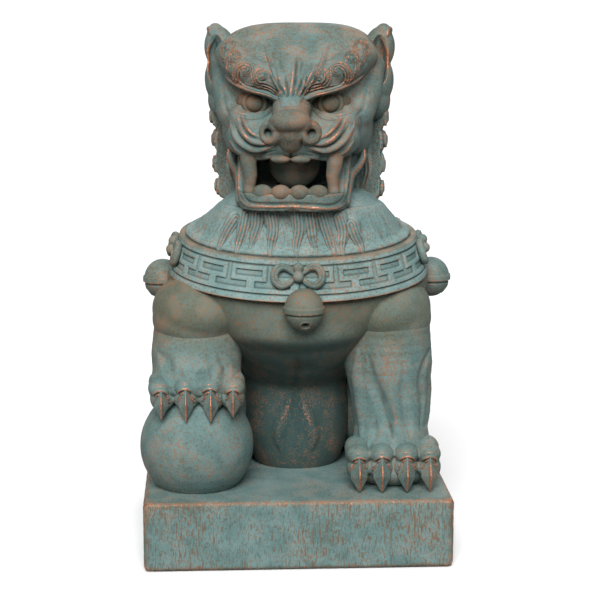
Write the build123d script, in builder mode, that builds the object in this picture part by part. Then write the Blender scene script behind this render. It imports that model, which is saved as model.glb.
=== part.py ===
"""Guardian lion statue, seated on a plinth with one forepaw on a ball and a loose ball in its mouth.

It is built as a sectional casting: every section is its own solid, seated on flat joint planes, with
tenons in sockets where a section carries weight. Millimetres, +Z up, the lion faces -Y, and the origin
is at the centre of the plinth's underside. Left and right are the lion's own: its left is +X.
"""

import os
from math import asin, cos, degrees, radians, sin

from build123d import *

# Fits
SEAT_GAP = 0.2  # play between a tenon and its socket, and under a piece laid on a curved seat
TENON_R = 9.0
TENON_L = 14.0
SIDES = {"left": 1, "right": -1}

# Plinth
PLINTH_W = 240.0
PLINTH_D = 220.0
PLINTH_H = 55.0
PLINTH_CORNER_R = 9.0
PLINTH_FOOT_R = 5.0
PLINTH_RIM_R = 2.5

# Trunk: the lion's middle stands a little to its left on the plinth
BODY_X = 4.0
RUMP_Y = 62.0
RUMP_HALF_W = 48.0
RUMP_HALF_D = 35.0
BELLY_Y = 48.0
BELLY_HALF_W = 45.0
BELLY_HALF_D = 42.0
BELLY_Z = 102.0
CHEST_FOLD_Y = 10.0
CHEST_FOLD_HALF_W = 52.0
CHEST_FOLD_HALF_D = 62.0
CHEST_FOLD_Z = 144.0
CHEST_Y = -8.0
CHEST_HALF_W = 88.0
CHEST_HALF_D = 78.0
CHEST_Z = 182.0
NECK_ROOT_Y = -14.0
NECK_ROOT_HALF_W = 84.0
NECK_ROOT_HALF_D = 70.0

# Collar: a band on a tilted cone, lower in front
COLLAR_TILT = 9.7
COLLAR_Y = -18.0
COLLAR_Z = 221.0
COLLAR_H = 29.0
COLLAR_T = 6.0
COLLAR_LOW_HALF_W = 102.5
COLLAR_LOW_HALF_D = 79.0
COLLAR_TOP_HALF_W = 93.0
COLLAR_TOP_HALF_D = 69.0
COLLAR_TOP_SHIFT = 9.0  # the upper edge sits further back than the lower one
COLLAR_RIM_H = 4.5
COLLAR_RIM_PROUD = 1.5

# Ruff of mane hair between the collar and the jaw
RUFF_TOP_Z = 276.0
RUFF_TOP_Y = -19.0
RUFF_TOP_HALF_W = 65.0
RUFF_TOP_HALF_D = 53.0

# Bells and bows on the collar
BELL_R = 15.5
BELL_BAND_H = 4.5
BELL_BAND_PROUD = 0.9
BELL_SLOT_R = 2.4
FRONT_BELL_Y = -99.0
FRONT_BELL_Z = 203.0
SIDE_BELL_X = 109.0
SIDE_BELL_Y = -4.0
SIDE_BELL_Z = 212.0
BOW_LOOP_R = 10.5
BOW_HOLE_R = 5.2
BOW_SPREAD = 11.0
BOW_KNOT_R = 4.6
BOW_PROUD = 4.0

# Forelegs
LEG_X = 76.0  # the standing leg's middle, and as far out on the other side for the raised one
SHOULDER_BOTTOM_Z = 169.0
SHOULDER_Z = 192.0
SHOULDER_OUT = 5.0
SHOULDER_Y = -36.0
SHOULDER_HALF_W = 32.0
SHOULDER_HALF_D = 41.0
ELBOW_Y = -44.0
ELBOW_HALF_W = 35.0
ELBOW_HALF_D = 31.0
ELBOW_Z = 152.0
WRIST_Y = -52.0
WRIST_HALF_W = 28.5
WRIST_HALF_D = 24.0
WRIST_Z = 98.0
FOOT_HALF_W = 33.0
FOOT_HALF_D = 26.0
TOE_COUNT = 4
TOE_HALF_W = 9.1
TOE_LONG = 1.8  # how much longer and taller than wide a toe is
TOE_TALL = 2.3
TOE_STEP = 18.6
TOE_Y = -69.0
TOE_H = 33.0
CLAW_L = 27.0
CLAW_DEPTH = 8.0
CLAW_HALF_T = 3.0
CLAW_TAPER = 24.0

# Ball under the right forepaw, and the raised paw on it
PAW_BALL_R = 45.0
PAW_BALL_X = -78.5
PAW_BALL_Y = -54.0
PAW_BALL_SUNK = 13.0  # how far the sphere is cut off at the plinth
RAISED_TOE_Y = -80.0
RAISED_TOE_TOP_Z = 142.0
RAISED_OUTER_DROP = 5.0

# Hind legs
HAUNCH_X = 64.0
HAUNCH_Y = 48.0
HAUNCH_Z = 98.0
HAUNCH_HALF_W = 42.0
HAUNCH_HALF_D = 48.0
HAUNCH_HALF_H = 60.0
HAUNCH_LEAN = -24.0
HIND_PAW_X = 82.0
HIND_PAW_Y = 24.0
HIND_PAW_HALF_W = 22.0
HIND_PAW_HALF_D = 24.0
HIND_PAW_H = 24.0
HIND_TOE_HALF_W = 6.7
HIND_TOE_STEP = 13.8

# Tail: a plume up the back
TAIL_Y = 97.0
TAIL_HALF_W = 27.0
TAIL_HALF_D = 13.0
TAIL_TOP_Z = 214.0
TAIL_CURL_R = 13.0

# Head, in its own frame turned about the vertical: u to the lion's left, v backward
HEAD_X = 6.0
HEAD_Y = 1.0
HEAD_TURN = -8.0
MOUTH_TOP_Z = 316.0  # joint plane between the jaw section and the head
SKULL_Z = 352.0
SKULL_HALF_W = 62.0
SKULL_HALF_H = 64.0
SKULL_BACK_V = 42.0
CROWN_V = -15.0
FOREHEAD_V = -40.0
FACE_ROUND = 0.34  # corner radius of a section across the head, as a share of its shorter side
BROW_V = -70.0
BROW_R = 12.0
BROW_INNER_Z = 366.0
BROW_U = 44.0
BROW_Z = 387.0
TEMPLE_U = 40.0
TEMPLE_Z = 392.0
FAN_V = -46.0
FAN_Z = 372.0
FAN_HALF_W = 16.0
FAN_HALF_D = 28.0
FAN_HALF_H = 24.0
MUZZLE_V = -90.0
MUZZLE_HALF_W = 45.0
MUZZLE_TOP_Z = 353.0
LOBE_U = 24.0
LOBE_V = -60.0
LOBE_Z = 331.0
LOBE_HALF_W = 25.0
LOBE_HALF_D = 25.0
LOBE_HALF_H = 17.0
NOSE_Z = 342.0
NOSE_HALF_W = 22.0
NOSE_HALF_D = 14.0
NOSE_HALF_H = 12.5
BRIDGE_V = -69.0
BRIDGE_Z = 352.0
NOSE_WING_R = 9.0
NOSE_WING_U = 16.5
NOSTRIL_R = 4.2
NOSTRIL_DEPTH = 9.0

# Eyes, lids and ears
EYE_U = 27.5
EYE_Z = 358.0
EYE_R = 11.8
EYE_FRONT_V = -72.0
EYE_SPLAY = 12.0
EYE_DEPTH = 18.0
EYE_HOLLOW_V = -77.0
EYE_HOLLOW_HALF_W = 19.0
EYE_HOLLOW_HALF_D = 15.0
EYE_HOLLOW_HALF_H = 10.0
IRIS_R = 7.2
IRIS_PROUD = 1.6
LID_INNER_U = 12.0
LID_OUTER_U = 52.0
LID_INNER_Z = 364.0
LID_OUTER_Z = 377.0
LID_R = 5.0
EAR_BASE_Z = 354.0
EAR_TIP_Z = 416.0
EAR_TIP_U = 67.0
EAR_OUTER_U = 73.0
EAR_ROOT_U = 44.0
EAR_FRONT_V = -14.0
EAR_T = 18.0
EAR_HOLLOW_R = 34.0
EAR_HOLLOW_DEPTH = 7.0

# Jaw section, mouth and teeth
JAW_V = -29.0
JAW_W = 88.0
JAW_L = 114.0
JAW_CORNER_R = 25.0
JAW_FLARE = 6.0
MOUTH_FLOOR_Z = 289.0
MOUTH_HALF_W = 34.0
MOUTH_BACK_V = -21.0
LIP_BACK_V = -66.0
CHEEK_SLOPE_V = 15.0
MOUTH_BALL_R = 20.0
MOUTH_BALL_V = -44.0
MOUTH_BALL_PLAY = 0.3
PALATE_CLEAR = 2.0
FANG_U = 33.5
FANG_V = -71.0
FANG_L = 22.0
FANG_ROOT_R = 5.6
FANG_TIP_R = 2.6
INCISOR_U = 7.5
INCISOR_V = -79.0
INCISOR_HALF_W = 6.8
INCISOR_HALF_D = 4.6
INCISOR_DROP = 4.5
TOOTH_COUNT = 4
TOOTH_STEP = 14.2
TOOTH_V = -82.0
TOOTH_HALF_W = 7.0
TOOTH_HALF_D = 5.0
TOOTH_H = 6.0

# Mane: a hood of curls round the back of the head
MANE_V = -2.5
MANE_Z = 345.0
MANE_R = 62.0
MANE_LOW_R = 58.0
CURL_R = 10.0
CURL_OUT = -2.5  # how far the middle of a curl stands out from the hood
CURL_ROWS = 5
CURL_RISE = 19.0
ROW_CURLS = 9
CROWN_CURLS = ((38.0, 6), (60.0, 4))  # rows over the crown: elevation and count

# Beard: locks laid on the front of the ruff
BEARD_HALF_W = 44.0
BEARD_TIPS = 6
BEARD_TIP_Z = 246.0
BEARD_NOTCH_Z = 262.0
BEARD_PROUD = 3.5
BEARD_BACK_V = -40.0
BEARD_REACH = 60.0

# Planes and places that several pieces share
PLINTH_TOP = Plane.XY.offset(PLINTH_H)
COLLAR_PLANE = Plane(
    origin=(BODY_X, COLLAR_Y, COLLAR_Z),
    x_dir=(1, 0, 0),
    z_dir=(0, -sin(radians(COLLAR_TILT)), cos(radians(COLLAR_TILT))),
)
HEAD_PLANE = Plane(
    origin=(HEAD_X, HEAD_Y, 0),
    x_dir=(cos(radians(HEAD_TURN)), sin(radians(HEAD_TURN)), 0),
    z_dir=(0, 0, 1),
)
JAW_SEAT = Plane.XY.offset(RUFF_TOP_Z)
MOUTH_PLANE = Plane.XY.offset(MOUTH_TOP_Z)
PAW_BALL_Z = PLINTH_H + PAW_BALL_R - PAW_BALL_SUNK
MOUTH_BALL_Z = MOUTH_FLOOR_Z + MOUTH_BALL_R + MOUTH_BALL_PLAY


def head_point(u, v, z):
    """A point given in the head's own frame."""
    return HEAD_PLANE.from_local_coords((u, v, z))


def head_level(z):
    """Horizontal plane in the head's frame at height z."""
    return Plane(origin=head_point(0, 0, z), x_dir=HEAD_PLANE.x_dir, z_dir=(0, 0, 1))


def head_section(v):
    """Upright plane across the head at depth v, with its Y axis up."""
    return Plane(origin=head_point(0, v, 0), x_dir=HEAD_PLANE.x_dir, z_dir=-HEAD_PLANE.y_dir)


def head_side(u):
    """Upright plane along the head at distance u from its middle, with X backward and Y up."""
    return Plane(origin=head_point(u, 0, 0), x_dir=HEAD_PLANE.y_dir, z_dir=HEAD_PLANE.x_dir)


def ellipse_loft(sections):
    """Solid through level ellipses, each given as (height, x, y, half width, half depth)."""
    with BuildPart() as form:
        for z, x, y, half_w, half_d in sections:
            with BuildSketch(Plane.XY.offset(z)):
                with Locations((x, y)):
                    Ellipse(half_w, half_d)
        loft()
    return form.part


def collar_cone(inset):
    """The cone that the collar lies on, drawn in by inset all round and open to both edges."""
    with BuildPart() as cone:
        with BuildSketch(COLLAR_PLANE):
            Ellipse(COLLAR_LOW_HALF_W - inset, COLLAR_LOW_HALF_D - inset)
        with BuildSketch(COLLAR_PLANE.offset(COLLAR_H)):
            with Locations((0, COLLAR_TOP_SHIFT)):
                Ellipse(COLLAR_TOP_HALF_W - inset, COLLAR_TOP_HALF_D - inset)
        loft(ruled=True)
    return cone.part


def ellipsoid(place, half_w, half_d, half_h):
    """A sphere drawn out to three half sizes and put at a place."""
    return place * scale(Sphere(1.0), by=(half_w, half_d, half_h))


def head_place(u, v, z):
    """Location in the head's frame, turned with the head."""
    return Location(head_point(u, v, z), (0, 0, HEAD_TURN))


def main_solid(piece):
    """The largest solid of a cut piece, without the chips that a cut can leave."""
    return max(piece.solids(), key=lambda solid: solid.volume)


def finish(piece, name):
    """Labels a finished piece and writes its file."""
    piece.label = name
    export_step(piece, f"parts/{name}.step")
    print(name, "volume", round(piece.volume), "solids", len(piece.solids()))


def mirrored(side, x):
    """A place x out from the lion's middle on the given side."""
    return BODY_X + SIDES[side] * x


os.makedirs("parts", exist_ok=True)

# Trunk: rump on the plinth, belly drawn in, chest swelling forward, cut level with the collar
trunk_form = ellipse_loft(
    [
        (PLINTH_H, BODY_X, RUMP_Y, RUMP_HALF_W, RUMP_HALF_D),
        (BELLY_Z, BODY_X, BELLY_Y, BELLY_HALF_W, BELLY_HALF_D),
        (CHEST_FOLD_Z, BODY_X, CHEST_FOLD_Y, CHEST_FOLD_HALF_W, CHEST_FOLD_HALF_D),
        (CHEST_Z, BODY_X, CHEST_Y, CHEST_HALF_W, CHEST_HALF_D),
        (COLLAR_Z + COLLAR_H, BODY_X, NECK_ROOT_Y, NECK_ROOT_HALF_W, NECK_ROOT_HALF_D),
    ]
)
with BuildPart() as torso:
    add(trunk_form)
    split(bisect_by=COLLAR_PLANE, keep=Keep.BOTTOM)
    with BuildSketch(COLLAR_PLANE):
        Circle(TENON_R)
    extrude(amount=TENON_L)
    with BuildSketch(PLINTH_TOP):
        with Locations((BODY_X, RUMP_Y)):
            Circle(TENON_R)
    extrude(amount=-TENON_L)
finish(torso.part, "torso")

# Ball under the raised paw, cut flat where it stands
with BuildPart() as paw_ball:
    with Locations((PAW_BALL_X, PAW_BALL_Y, PAW_BALL_Z)):
        Sphere(PAW_BALL_R)
    split(bisect_by=PLINTH_TOP, keep=Keep.TOP)
    with BuildSketch(PLINTH_TOP):
        with Locations((PAW_BALL_X, PAW_BALL_Y)):
            Circle(TENON_R)
    extrude(amount=-TENON_L)
finish(paw_ball.part, "paw_ball")

# Plinth: a slab with soft corners, socketed for the three sections that stand on it
STANDING_LEG = (LEG_X, WRIST_Y)
with BuildPart() as plinth:
    with BuildSketch():
        RectangleRounded(PLINTH_W, PLINTH_D, PLINTH_CORNER_R)
    extrude(amount=PLINTH_H)
    fillet(plinth.faces().sort_by(Axis.Z)[0].edges(), PLINTH_FOOT_R)
    fillet(plinth.faces().sort_by(Axis.Z)[-1].edges(), PLINTH_RIM_R)
    with BuildSketch(PLINTH_TOP):
        with Locations((BODY_X, RUMP_Y), (PAW_BALL_X, PAW_BALL_Y), STANDING_LEG):
            Circle(TENON_R + SEAT_GAP)
    extrude(amount=-TENON_L - SEAT_GAP, mode=Mode.SUBTRACT)
finish(plinth.part, "plinth")


def shoulder(side):
    """Upper-arm muscle that swells over the elbow, laid on the trunk and flat under the collar."""
    middle = mirrored(side, LEG_X - BODY_X + SHOULDER_OUT)
    inward = -SIDES[side]
    form = ellipse_loft(
        [
            (SHOULDER_BOTTOM_Z, middle, SHOULDER_Y, SHOULDER_HALF_W - 5, SHOULDER_HALF_D - 9),
            (SHOULDER_BOTTOM_Z + 9, middle, SHOULDER_Y, SHOULDER_HALF_W, SHOULDER_HALF_D - 1),
            (SHOULDER_Z, middle, SHOULDER_Y, SHOULDER_HALF_W, SHOULDER_HALF_D),
            (COLLAR_Z, middle + 7 * inward, SHOULDER_Y + 7, SHOULDER_HALF_W, SHOULDER_HALF_D - 1),
            (COLLAR_Z + COLLAR_H, middle + 16 * inward, SHOULDER_Y + 12, SHOULDER_HALF_W, SHOULDER_HALF_D - 5),
        ]
    )
    with BuildPart() as muscle:
        add(form)
        split(bisect_by=COLLAR_PLANE, keep=Keep.BOTTOM)
        add(torso.part, mode=Mode.SUBTRACT)
    return main_solid(muscle.part)


shoulders = {side: shoulder(side) for side in SIDES}
for side, piece in shoulders.items():
    finish(piece, f"{side}_shoulder")

# Standing foreleg: elbow, narrow wrist, spread foot, cut away where the chest hangs in front of it
standing_form = ellipse_loft(
    [
        (PLINTH_H, LEG_X, WRIST_Y, FOOT_HALF_W, FOOT_HALF_D),
        (PLINTH_H + TOE_H / 2, LEG_X, WRIST_Y, FOOT_HALF_W - 1, FOOT_HALF_D - 1),
        (WRIST_Z, LEG_X, WRIST_Y, WRIST_HALF_W, WRIST_HALF_D),
        (ELBOW_Z, LEG_X, ELBOW_Y, ELBOW_HALF_W, ELBOW_HALF_D),
        (SHOULDER_BOTTOM_Z, LEG_X, ELBOW_Y, ELBOW_HALF_W - 2, ELBOW_HALF_D - 1),
    ]
)
with BuildPart() as left_foreleg:
    add(standing_form)
    add(torso.part, mode=Mode.SUBTRACT)
    with BuildSketch(PLINTH_TOP):
        with Locations(STANDING_LEG):
            Circle(TENON_R)
    extrude(amount=-TENON_L)
finish(left_foreleg.part, "left_foreleg")

# Raised foreleg: bent over the ball and hollowed to sit on it
raised_x = PAW_BALL_X
raised_form = ellipse_loft(
    [
        (PAW_BALL_Z + PAW_BALL_R - 12, raised_x, PAW_BALL_Y - 4, FOOT_HALF_W - 3, FOOT_HALF_D),
        (PAW_BALL_Z + PAW_BALL_R + 4, raised_x, PAW_BALL_Y - 2, FOOT_HALF_W - 1, FOOT_HALF_D + 1),
        (ELBOW_Z, raised_x, ELBOW_Y, ELBOW_HALF_W - 1, ELBOW_HALF_D),
        (SHOULDER_BOTTOM_Z, raised_x, ELBOW_Y, ELBOW_HALF_W - 2, ELBOW_HALF_D - 1),
    ]
)
with BuildPart() as right_foreleg:
    add(raised_form)
    with Locations((PAW_BALL_X, PAW_BALL_Y, PAW_BALL_Z)):
        Sphere(PAW_BALL_R + SEAT_GAP, mode=Mode.SUBTRACT)
    add(torso.part, mode=Mode.SUBTRACT)
finish(right_foreleg.part, "right_foreleg")


def toe(x, y, top_z, half_w):
    """One toe: an upright egg with a round knuckle, longer than it is wide."""
    half_h = half_w * TOE_TALL
    return ellipsoid(Location((x, y, top_z - half_h)), half_w, half_w * TOE_LONG, half_h)


def claw(x, y, top_z):
    """One claw: a crescent blade with its ridge along the middle, standing out in front of its toe."""
    side_view = Plane(origin=(x, y, top_z), x_dir=(0, -1, 0), z_dir=(-1, 0, 0))
    with BuildPart() as blade:
        with BuildSketch(side_view):
            with BuildLine():
                ThreePointArc((-CLAW_DEPTH, 0), (CLAW_DEPTH * 0.75, -CLAW_L * 0.3), (CLAW_DEPTH * 0.6, -CLAW_L))
                ThreePointArc((CLAW_DEPTH * 0.6, -CLAW_L), (0, -CLAW_L * 0.62), (-CLAW_DEPTH, -CLAW_L * 0.55))
                Line((-CLAW_DEPTH, -CLAW_L * 0.55), (-CLAW_DEPTH, 0))
            make_face()
        extrude(amount=CLAW_HALF_T, both=True, taper=CLAW_TAPER)
    return blade.part


toe_offsets = [TOE_STEP * (i - (TOE_COUNT - 1) / 2) for i in range(TOE_COUNT)]
outermost = max(toe_offsets)
toe_reach = TOE_HALF_W * TOE_LONG

standing_toes = [toe(LEG_X + offset, TOE_Y, PLINTH_H + TOE_H, TOE_HALF_W) for offset in toe_offsets]
with BuildPart() as left_fore_toes:
    add(standing_toes)
    split(bisect_by=PLINTH_TOP, keep=Keep.TOP)
    add(left_foreleg.part, mode=Mode.SUBTRACT)
finish(left_fore_toes.part, "left_fore_toes")

with BuildPart() as left_claws:
    add([claw(LEG_X + offset, TOE_Y - toe_reach, PLINTH_H + CLAW_L) for offset in toe_offsets])
    add(left_fore_toes.part, mode=Mode.SUBTRACT)
finish(left_claws.part, "left_claws")

raised_drops = [RAISED_OUTER_DROP * (abs(offset) / outermost) ** 2 for offset in toe_offsets]
raised_places = [
    (raised_x + offset, RAISED_TOE_Y + drop, RAISED_TOE_TOP_Z - drop)
    for offset, drop in zip(toe_offsets, raised_drops)
]
raised_toes = [toe(x, y, top_z, TOE_HALF_W) for x, y, top_z in raised_places]
with BuildPart() as right_fore_toes:
    add(raised_toes)
    with Locations((PAW_BALL_X, PAW_BALL_Y, PAW_BALL_Z)):
        Sphere(PAW_BALL_R + SEAT_GAP, mode=Mode.SUBTRACT)
    add(right_foreleg.part, mode=Mode.SUBTRACT)
finish(right_fore_toes.part, "right_fore_toes")

raised_claws = [claw(x, y - toe_reach, top_z - TOE_HALF_W) for x, y, top_z in raised_places]
with BuildPart() as right_claws:
    add(raised_claws)
    add(right_fore_toes.part, mode=Mode.SUBTRACT)
    with Locations((PAW_BALL_X, PAW_BALL_Y, PAW_BALL_Z)):
        Sphere(PAW_BALL_R + SEAT_GAP, mode=Mode.SUBTRACT)
finish(right_claws.part, "right_claws")


def haunch(side):
    """Folded thigh beside the rump."""
    place = Location((mirrored(side, HAUNCH_X), HAUNCH_Y, HAUNCH_Z), (HAUNCH_LEAN, 0, 0))
    form = ellipsoid(place, HAUNCH_HALF_W, HAUNCH_HALF_D, HAUNCH_HALF_H)
    with BuildPart() as thigh:
        add(form)
        split(bisect_by=PLINTH_TOP, keep=Keep.TOP)
        add(torso.part, mode=Mode.SUBTRACT)
    return main_solid(thigh.part)


def hind_paw(side, thigh):
    """Hind foot in front of the thigh, with three short toes."""
    middle = mirrored(side, HIND_PAW_X)
    foot_top = PLINTH_H + HIND_PAW_H
    form = ellipse_loft(
        [
            (PLINTH_H, middle, HIND_PAW_Y, HIND_PAW_HALF_W, HIND_PAW_HALF_D),
            (PLINTH_H + HIND_PAW_H * 0.6, middle, HIND_PAW_Y, HIND_PAW_HALF_W - 1, HIND_PAW_HALF_D - 2),
            (foot_top, middle, HIND_PAW_Y + 4, HIND_PAW_HALF_W / 2, HIND_PAW_HALF_D / 2),
        ]
    )
    front = HIND_PAW_Y - HIND_PAW_HALF_D + HIND_TOE_HALF_W / 2
    knuckle_z = foot_top - HIND_TOE_HALF_W / 2
    toes = [toe(middle + step * HIND_TOE_STEP, front, knuckle_z, HIND_TOE_HALF_W) for step in (-1, 0, 1)]
    with BuildPart() as foot:
        add(form)
        add(toes)
        split(bisect_by=PLINTH_TOP, keep=Keep.TOP)
        add(thigh, mode=Mode.SUBTRACT)
    return main_solid(foot.part)


haunches = {side: haunch(side) for side in SIDES}
for side, thigh in haunches.items():
    finish(thigh, f"{side}_haunch")
    finish(hind_paw(side, thigh), f"{side}_hind_paw")

# Tail: a plume that rises from the plinth and leans on the back, with a curl to each side
with BuildPart() as tail:
    add(
        ellipse_loft(
            [
                (PLINTH_H, BODY_X, TAIL_Y, TAIL_HALF_W * 0.5, TAIL_HALF_D * 0.7),
                (PLINTH_H + 35, BODY_X, TAIL_Y, TAIL_HALF_W * 0.85, TAIL_HALF_D),
                (PLINTH_H + 85, BODY_X, TAIL_Y - 14, TAIL_HALF_W, TAIL_HALF_D),
                (TAIL_TOP_Z - 30, BODY_X, TAIL_Y - 21, TAIL_HALF_W * 0.6, TAIL_HALF_D),
                (TAIL_TOP_Z, BODY_X, TAIL_Y - 28, TAIL_HALF_W * 0.12, TAIL_HALF_D * 0.3),
            ]
        )
    )
    with Locations(
        (BODY_X - TAIL_HALF_W * 0.8, TAIL_Y - 14, PLINTH_H + 104),
        (BODY_X + TAIL_HALF_W * 0.8, TAIL_Y - 14, PLINTH_H + 104),
    ):
        Sphere(TAIL_CURL_R)
    add(torso.part, mode=Mode.SUBTRACT)
    for thigh in haunches.values():
        add(thigh, mode=Mode.SUBTRACT)
finish(main_solid(tail.part), "tail")

# Collar band with a proud rim along each edge
with BuildPart() as collar:
    add(collar_cone(0))
    for height in (0, COLLAR_H - COLLAR_RIM_H):
        share = height / COLLAR_H
        rise = (height + COLLAR_RIM_H) / COLLAR_H
        with BuildSketch(COLLAR_PLANE.offset(height)) as low_rim:
            with Locations((0, COLLAR_TOP_SHIFT * share)):
                Ellipse(
                    COLLAR_LOW_HALF_W + (COLLAR_TOP_HALF_W - COLLAR_LOW_HALF_W) * share + COLLAR_RIM_PROUD,
                    COLLAR_LOW_HALF_D + (COLLAR_TOP_HALF_D - COLLAR_LOW_HALF_D) * share + COLLAR_RIM_PROUD,
                )
        with BuildSketch(COLLAR_PLANE.offset(height + COLLAR_RIM_H)) as high_rim:
            with Locations((0, COLLAR_TOP_SHIFT * rise)):
                Ellipse(
                    COLLAR_LOW_HALF_W + (COLLAR_TOP_HALF_W - COLLAR_LOW_HALF_W) * rise + COLLAR_RIM_PROUD,
                    COLLAR_LOW_HALF_D + (COLLAR_TOP_HALF_D - COLLAR_LOW_HALF_D) * rise + COLLAR_RIM_PROUD,
                )
        loft([low_rim.sketch, high_rim.sketch], ruled=True)
    add(collar_cone(COLLAR_T), mode=Mode.SUBTRACT)
finish(collar.part, "collar")

# Ruff: fills the collar and narrows up to the jaw, socketed for the neck tenon
RUFF_INSET = COLLAR_T + SEAT_GAP
with BuildPart() as neck_ruff:
    with BuildSketch(COLLAR_PLANE):
        Ellipse(COLLAR_LOW_HALF_W - RUFF_INSET, COLLAR_LOW_HALF_D - RUFF_INSET)
    with BuildSketch(COLLAR_PLANE.offset(COLLAR_H)):
        with Locations((0, COLLAR_TOP_SHIFT)):
            Ellipse(COLLAR_TOP_HALF_W - RUFF_INSET, COLLAR_TOP_HALF_D - RUFF_INSET)
    with BuildSketch(JAW_SEAT):
        with Locations((HEAD_X, RUFF_TOP_Y)):
            Ellipse(RUFF_TOP_HALF_W, RUFF_TOP_HALF_D)
    loft(ruled=True)
    with BuildSketch(COLLAR_PLANE):
        Circle(TENON_R + SEAT_GAP)
    extrude(amount=TENON_L + SEAT_GAP, mode=Mode.SUBTRACT)
    with BuildSketch(JAW_SEAT):
        with Locations((HEAD_X, HEAD_Y)):
            Circle(TENON_R)
    extrude(amount=TENON_L / 2)
finish(neck_ruff.part, "neck_ruff")

# Jaw section: lower jaw, mouth floor and cheeks, open in front between the lips
with BuildPart() as jaw_form:
    for z, flare in ((RUFF_TOP_Z, 0), (MOUTH_FLOOR_Z, JAW_FLARE / 2), (MOUTH_TOP_Z, JAW_FLARE)):
        with BuildSketch(head_level(z)):
            with Locations((0, JAW_V)):
                RectangleRounded(JAW_W + flare, JAW_L + flare, JAW_CORNER_R)
    loft()
with BuildPart() as lower_jaw:
    add(jaw_form.part)
    with BuildSketch(head_level(MOUTH_FLOOR_Z)):
        with Locations((0, MOUTH_BACK_V)):
            Rectangle(2 * MOUTH_HALF_W, JAW_L, align=(Align.CENTER, Align.MAX))
    extrude(until=Until.LAST, mode=Mode.SUBTRACT)
    with BuildSketch(head_side(0)):
        with BuildLine():
            Polyline(
                (JAW_V - JAW_L, MOUTH_FLOOR_Z),
                (LIP_BACK_V, MOUTH_FLOOR_Z),
                (LIP_BACK_V + CHEEK_SLOPE_V, MOUTH_TOP_Z + 1),
                (JAW_V - JAW_L, MOUTH_TOP_Z + 1),
                close=True,
            )
        make_face()
    extrude(amount=JAW_W, both=True, mode=Mode.SUBTRACT)
    with BuildSketch(JAW_SEAT):
        with Locations((HEAD_X, HEAD_Y)):
            Circle(TENON_R + SEAT_GAP)
    extrude(amount=TENON_L / 2 + SEAT_GAP, mode=Mode.SUBTRACT)
finish(lower_jaw.part, "lower_jaw")

# Loose ball in the mouth, too large to pass the teeth
with BuildPart() as mouth_ball:
    with Locations(head_point(0, MOUTH_BALL_V, MOUTH_BALL_Z)):
        Sphere(MOUTH_BALL_R)
finish(mouth_ball.part, "mouth_ball")


def eye_plane(side):
    """Plane on the front of an eye, facing out and a little to its side."""
    splay = radians(EYE_SPLAY) * SIDES[side]
    facing = HEAD_PLANE.x_dir * sin(splay) - HEAD_PLANE.y_dir * cos(splay)
    across = HEAD_PLANE.x_dir * cos(splay) + HEAD_PLANE.y_dir * sin(splay)
    return Plane(origin=head_point(SIDES[side] * EYE_U, EYE_FRONT_V, EYE_Z), x_dir=across, z_dir=facing)


def face_loft(sections):
    """Solid through upright round-cornered sections, each (depth, half width, low height, high height)."""
    with BuildPart() as form:
        for v, half_w, low_z, high_z in sections:
            height = high_z - low_z
            with BuildSketch(head_section(v)):
                with Locations((0, (low_z + high_z) / 2)):
                    RectangleRounded(2 * half_w, height, FACE_ROUND * min(2 * half_w, height))
        loft()
    return form.part


def brow(side):
    """Heavy brow: a roll from over the nose, up and out round the eye and back into the temple."""
    s = SIDES[side]
    inner = head_point(-s * BROW_R / 3, BROW_V + BROW_R / 2, BROW_INNER_Z)
    outer = head_point(s * BROW_U, BROW_V + 2 * BROW_R - 2, BROW_Z)
    temple = head_point(s * TEMPLE_U, CROWN_V + BROW_R - 2, TEMPLE_Z)
    with BuildPart() as roll:
        with BuildLine() as path:
            ThreePointArc(inner, outer, temple)
        with BuildSketch(Plane(origin=path.line @ 0, z_dir=path.line % 0)):
            Circle(BROW_R)
        sweep(path=path.line)
    return roll.part


# Head: flat crown, sloping forehead with a fan between the brows, and a muzzle in two lobes, in one
# casting that is flat over the mouth, hollowed round the eyes and socketed for them
CROWN_Z = SKULL_Z + SKULL_HALF_H
CHIN_Z = MOUTH_TOP_Z - 8  # low enough for the corners of a section to be clear of the cut
skull_form = face_loft(
    [
        (SKULL_BACK_V, SKULL_HALF_W * 0.42, SKULL_Z - SKULL_HALF_H * 0.4, SKULL_Z + SKULL_HALF_H * 0.55),
        (SKULL_BACK_V * 0.5, SKULL_HALF_W * 0.68, SKULL_Z - SKULL_HALF_H * 0.8, SKULL_Z + SKULL_HALF_H * 0.85),
        (MANE_V, SKULL_HALF_W * 0.85, SKULL_Z - SKULL_HALF_H, CROWN_Z - 2),
        (CROWN_V, SKULL_HALF_W, SKULL_Z - SKULL_HALF_H, CROWN_Z),
        (FOREHEAD_V, SKULL_HALF_W * 0.94, SKULL_Z - SKULL_HALF_H * 0.9, CROWN_Z - 7),
        (BROW_V + 14, SKULL_HALF_W * 0.75, CHIN_Z, CROWN_Z - 24),
        (BROW_V + 4, SKULL_HALF_W * 0.58, CHIN_Z + 12, CROWN_Z - 40),
        (BROW_V - 4, SKULL_HALF_W * 0.36, CHIN_Z + 24, CROWN_Z - 54),
    ]
)
muzzle_form = face_loft(
    [
        (FOREHEAD_V, MUZZLE_HALF_W * 1.06, CHIN_Z, MUZZLE_TOP_Z),
        (BROW_V, MUZZLE_HALF_W, CHIN_Z, MUZZLE_TOP_Z - 2),
        (MUZZLE_V + 10, MUZZLE_HALF_W * 0.8, CHIN_Z, MUZZLE_TOP_Z - 8),
        (MUZZLE_V + 7, MUZZLE_HALF_W * 0.6, CHIN_Z + 2, MUZZLE_TOP_Z - 14),
    ]
)
fan = ellipsoid(head_place(0, FAN_V, FAN_Z), FAN_HALF_W, FAN_HALF_D, FAN_HALF_H)
bridge = ellipsoid(head_place(0, BRIDGE_V, BRIDGE_Z), NOSE_HALF_W * 0.7, NOSE_HALF_D * 1.2, NOSE_HALF_H)
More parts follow.
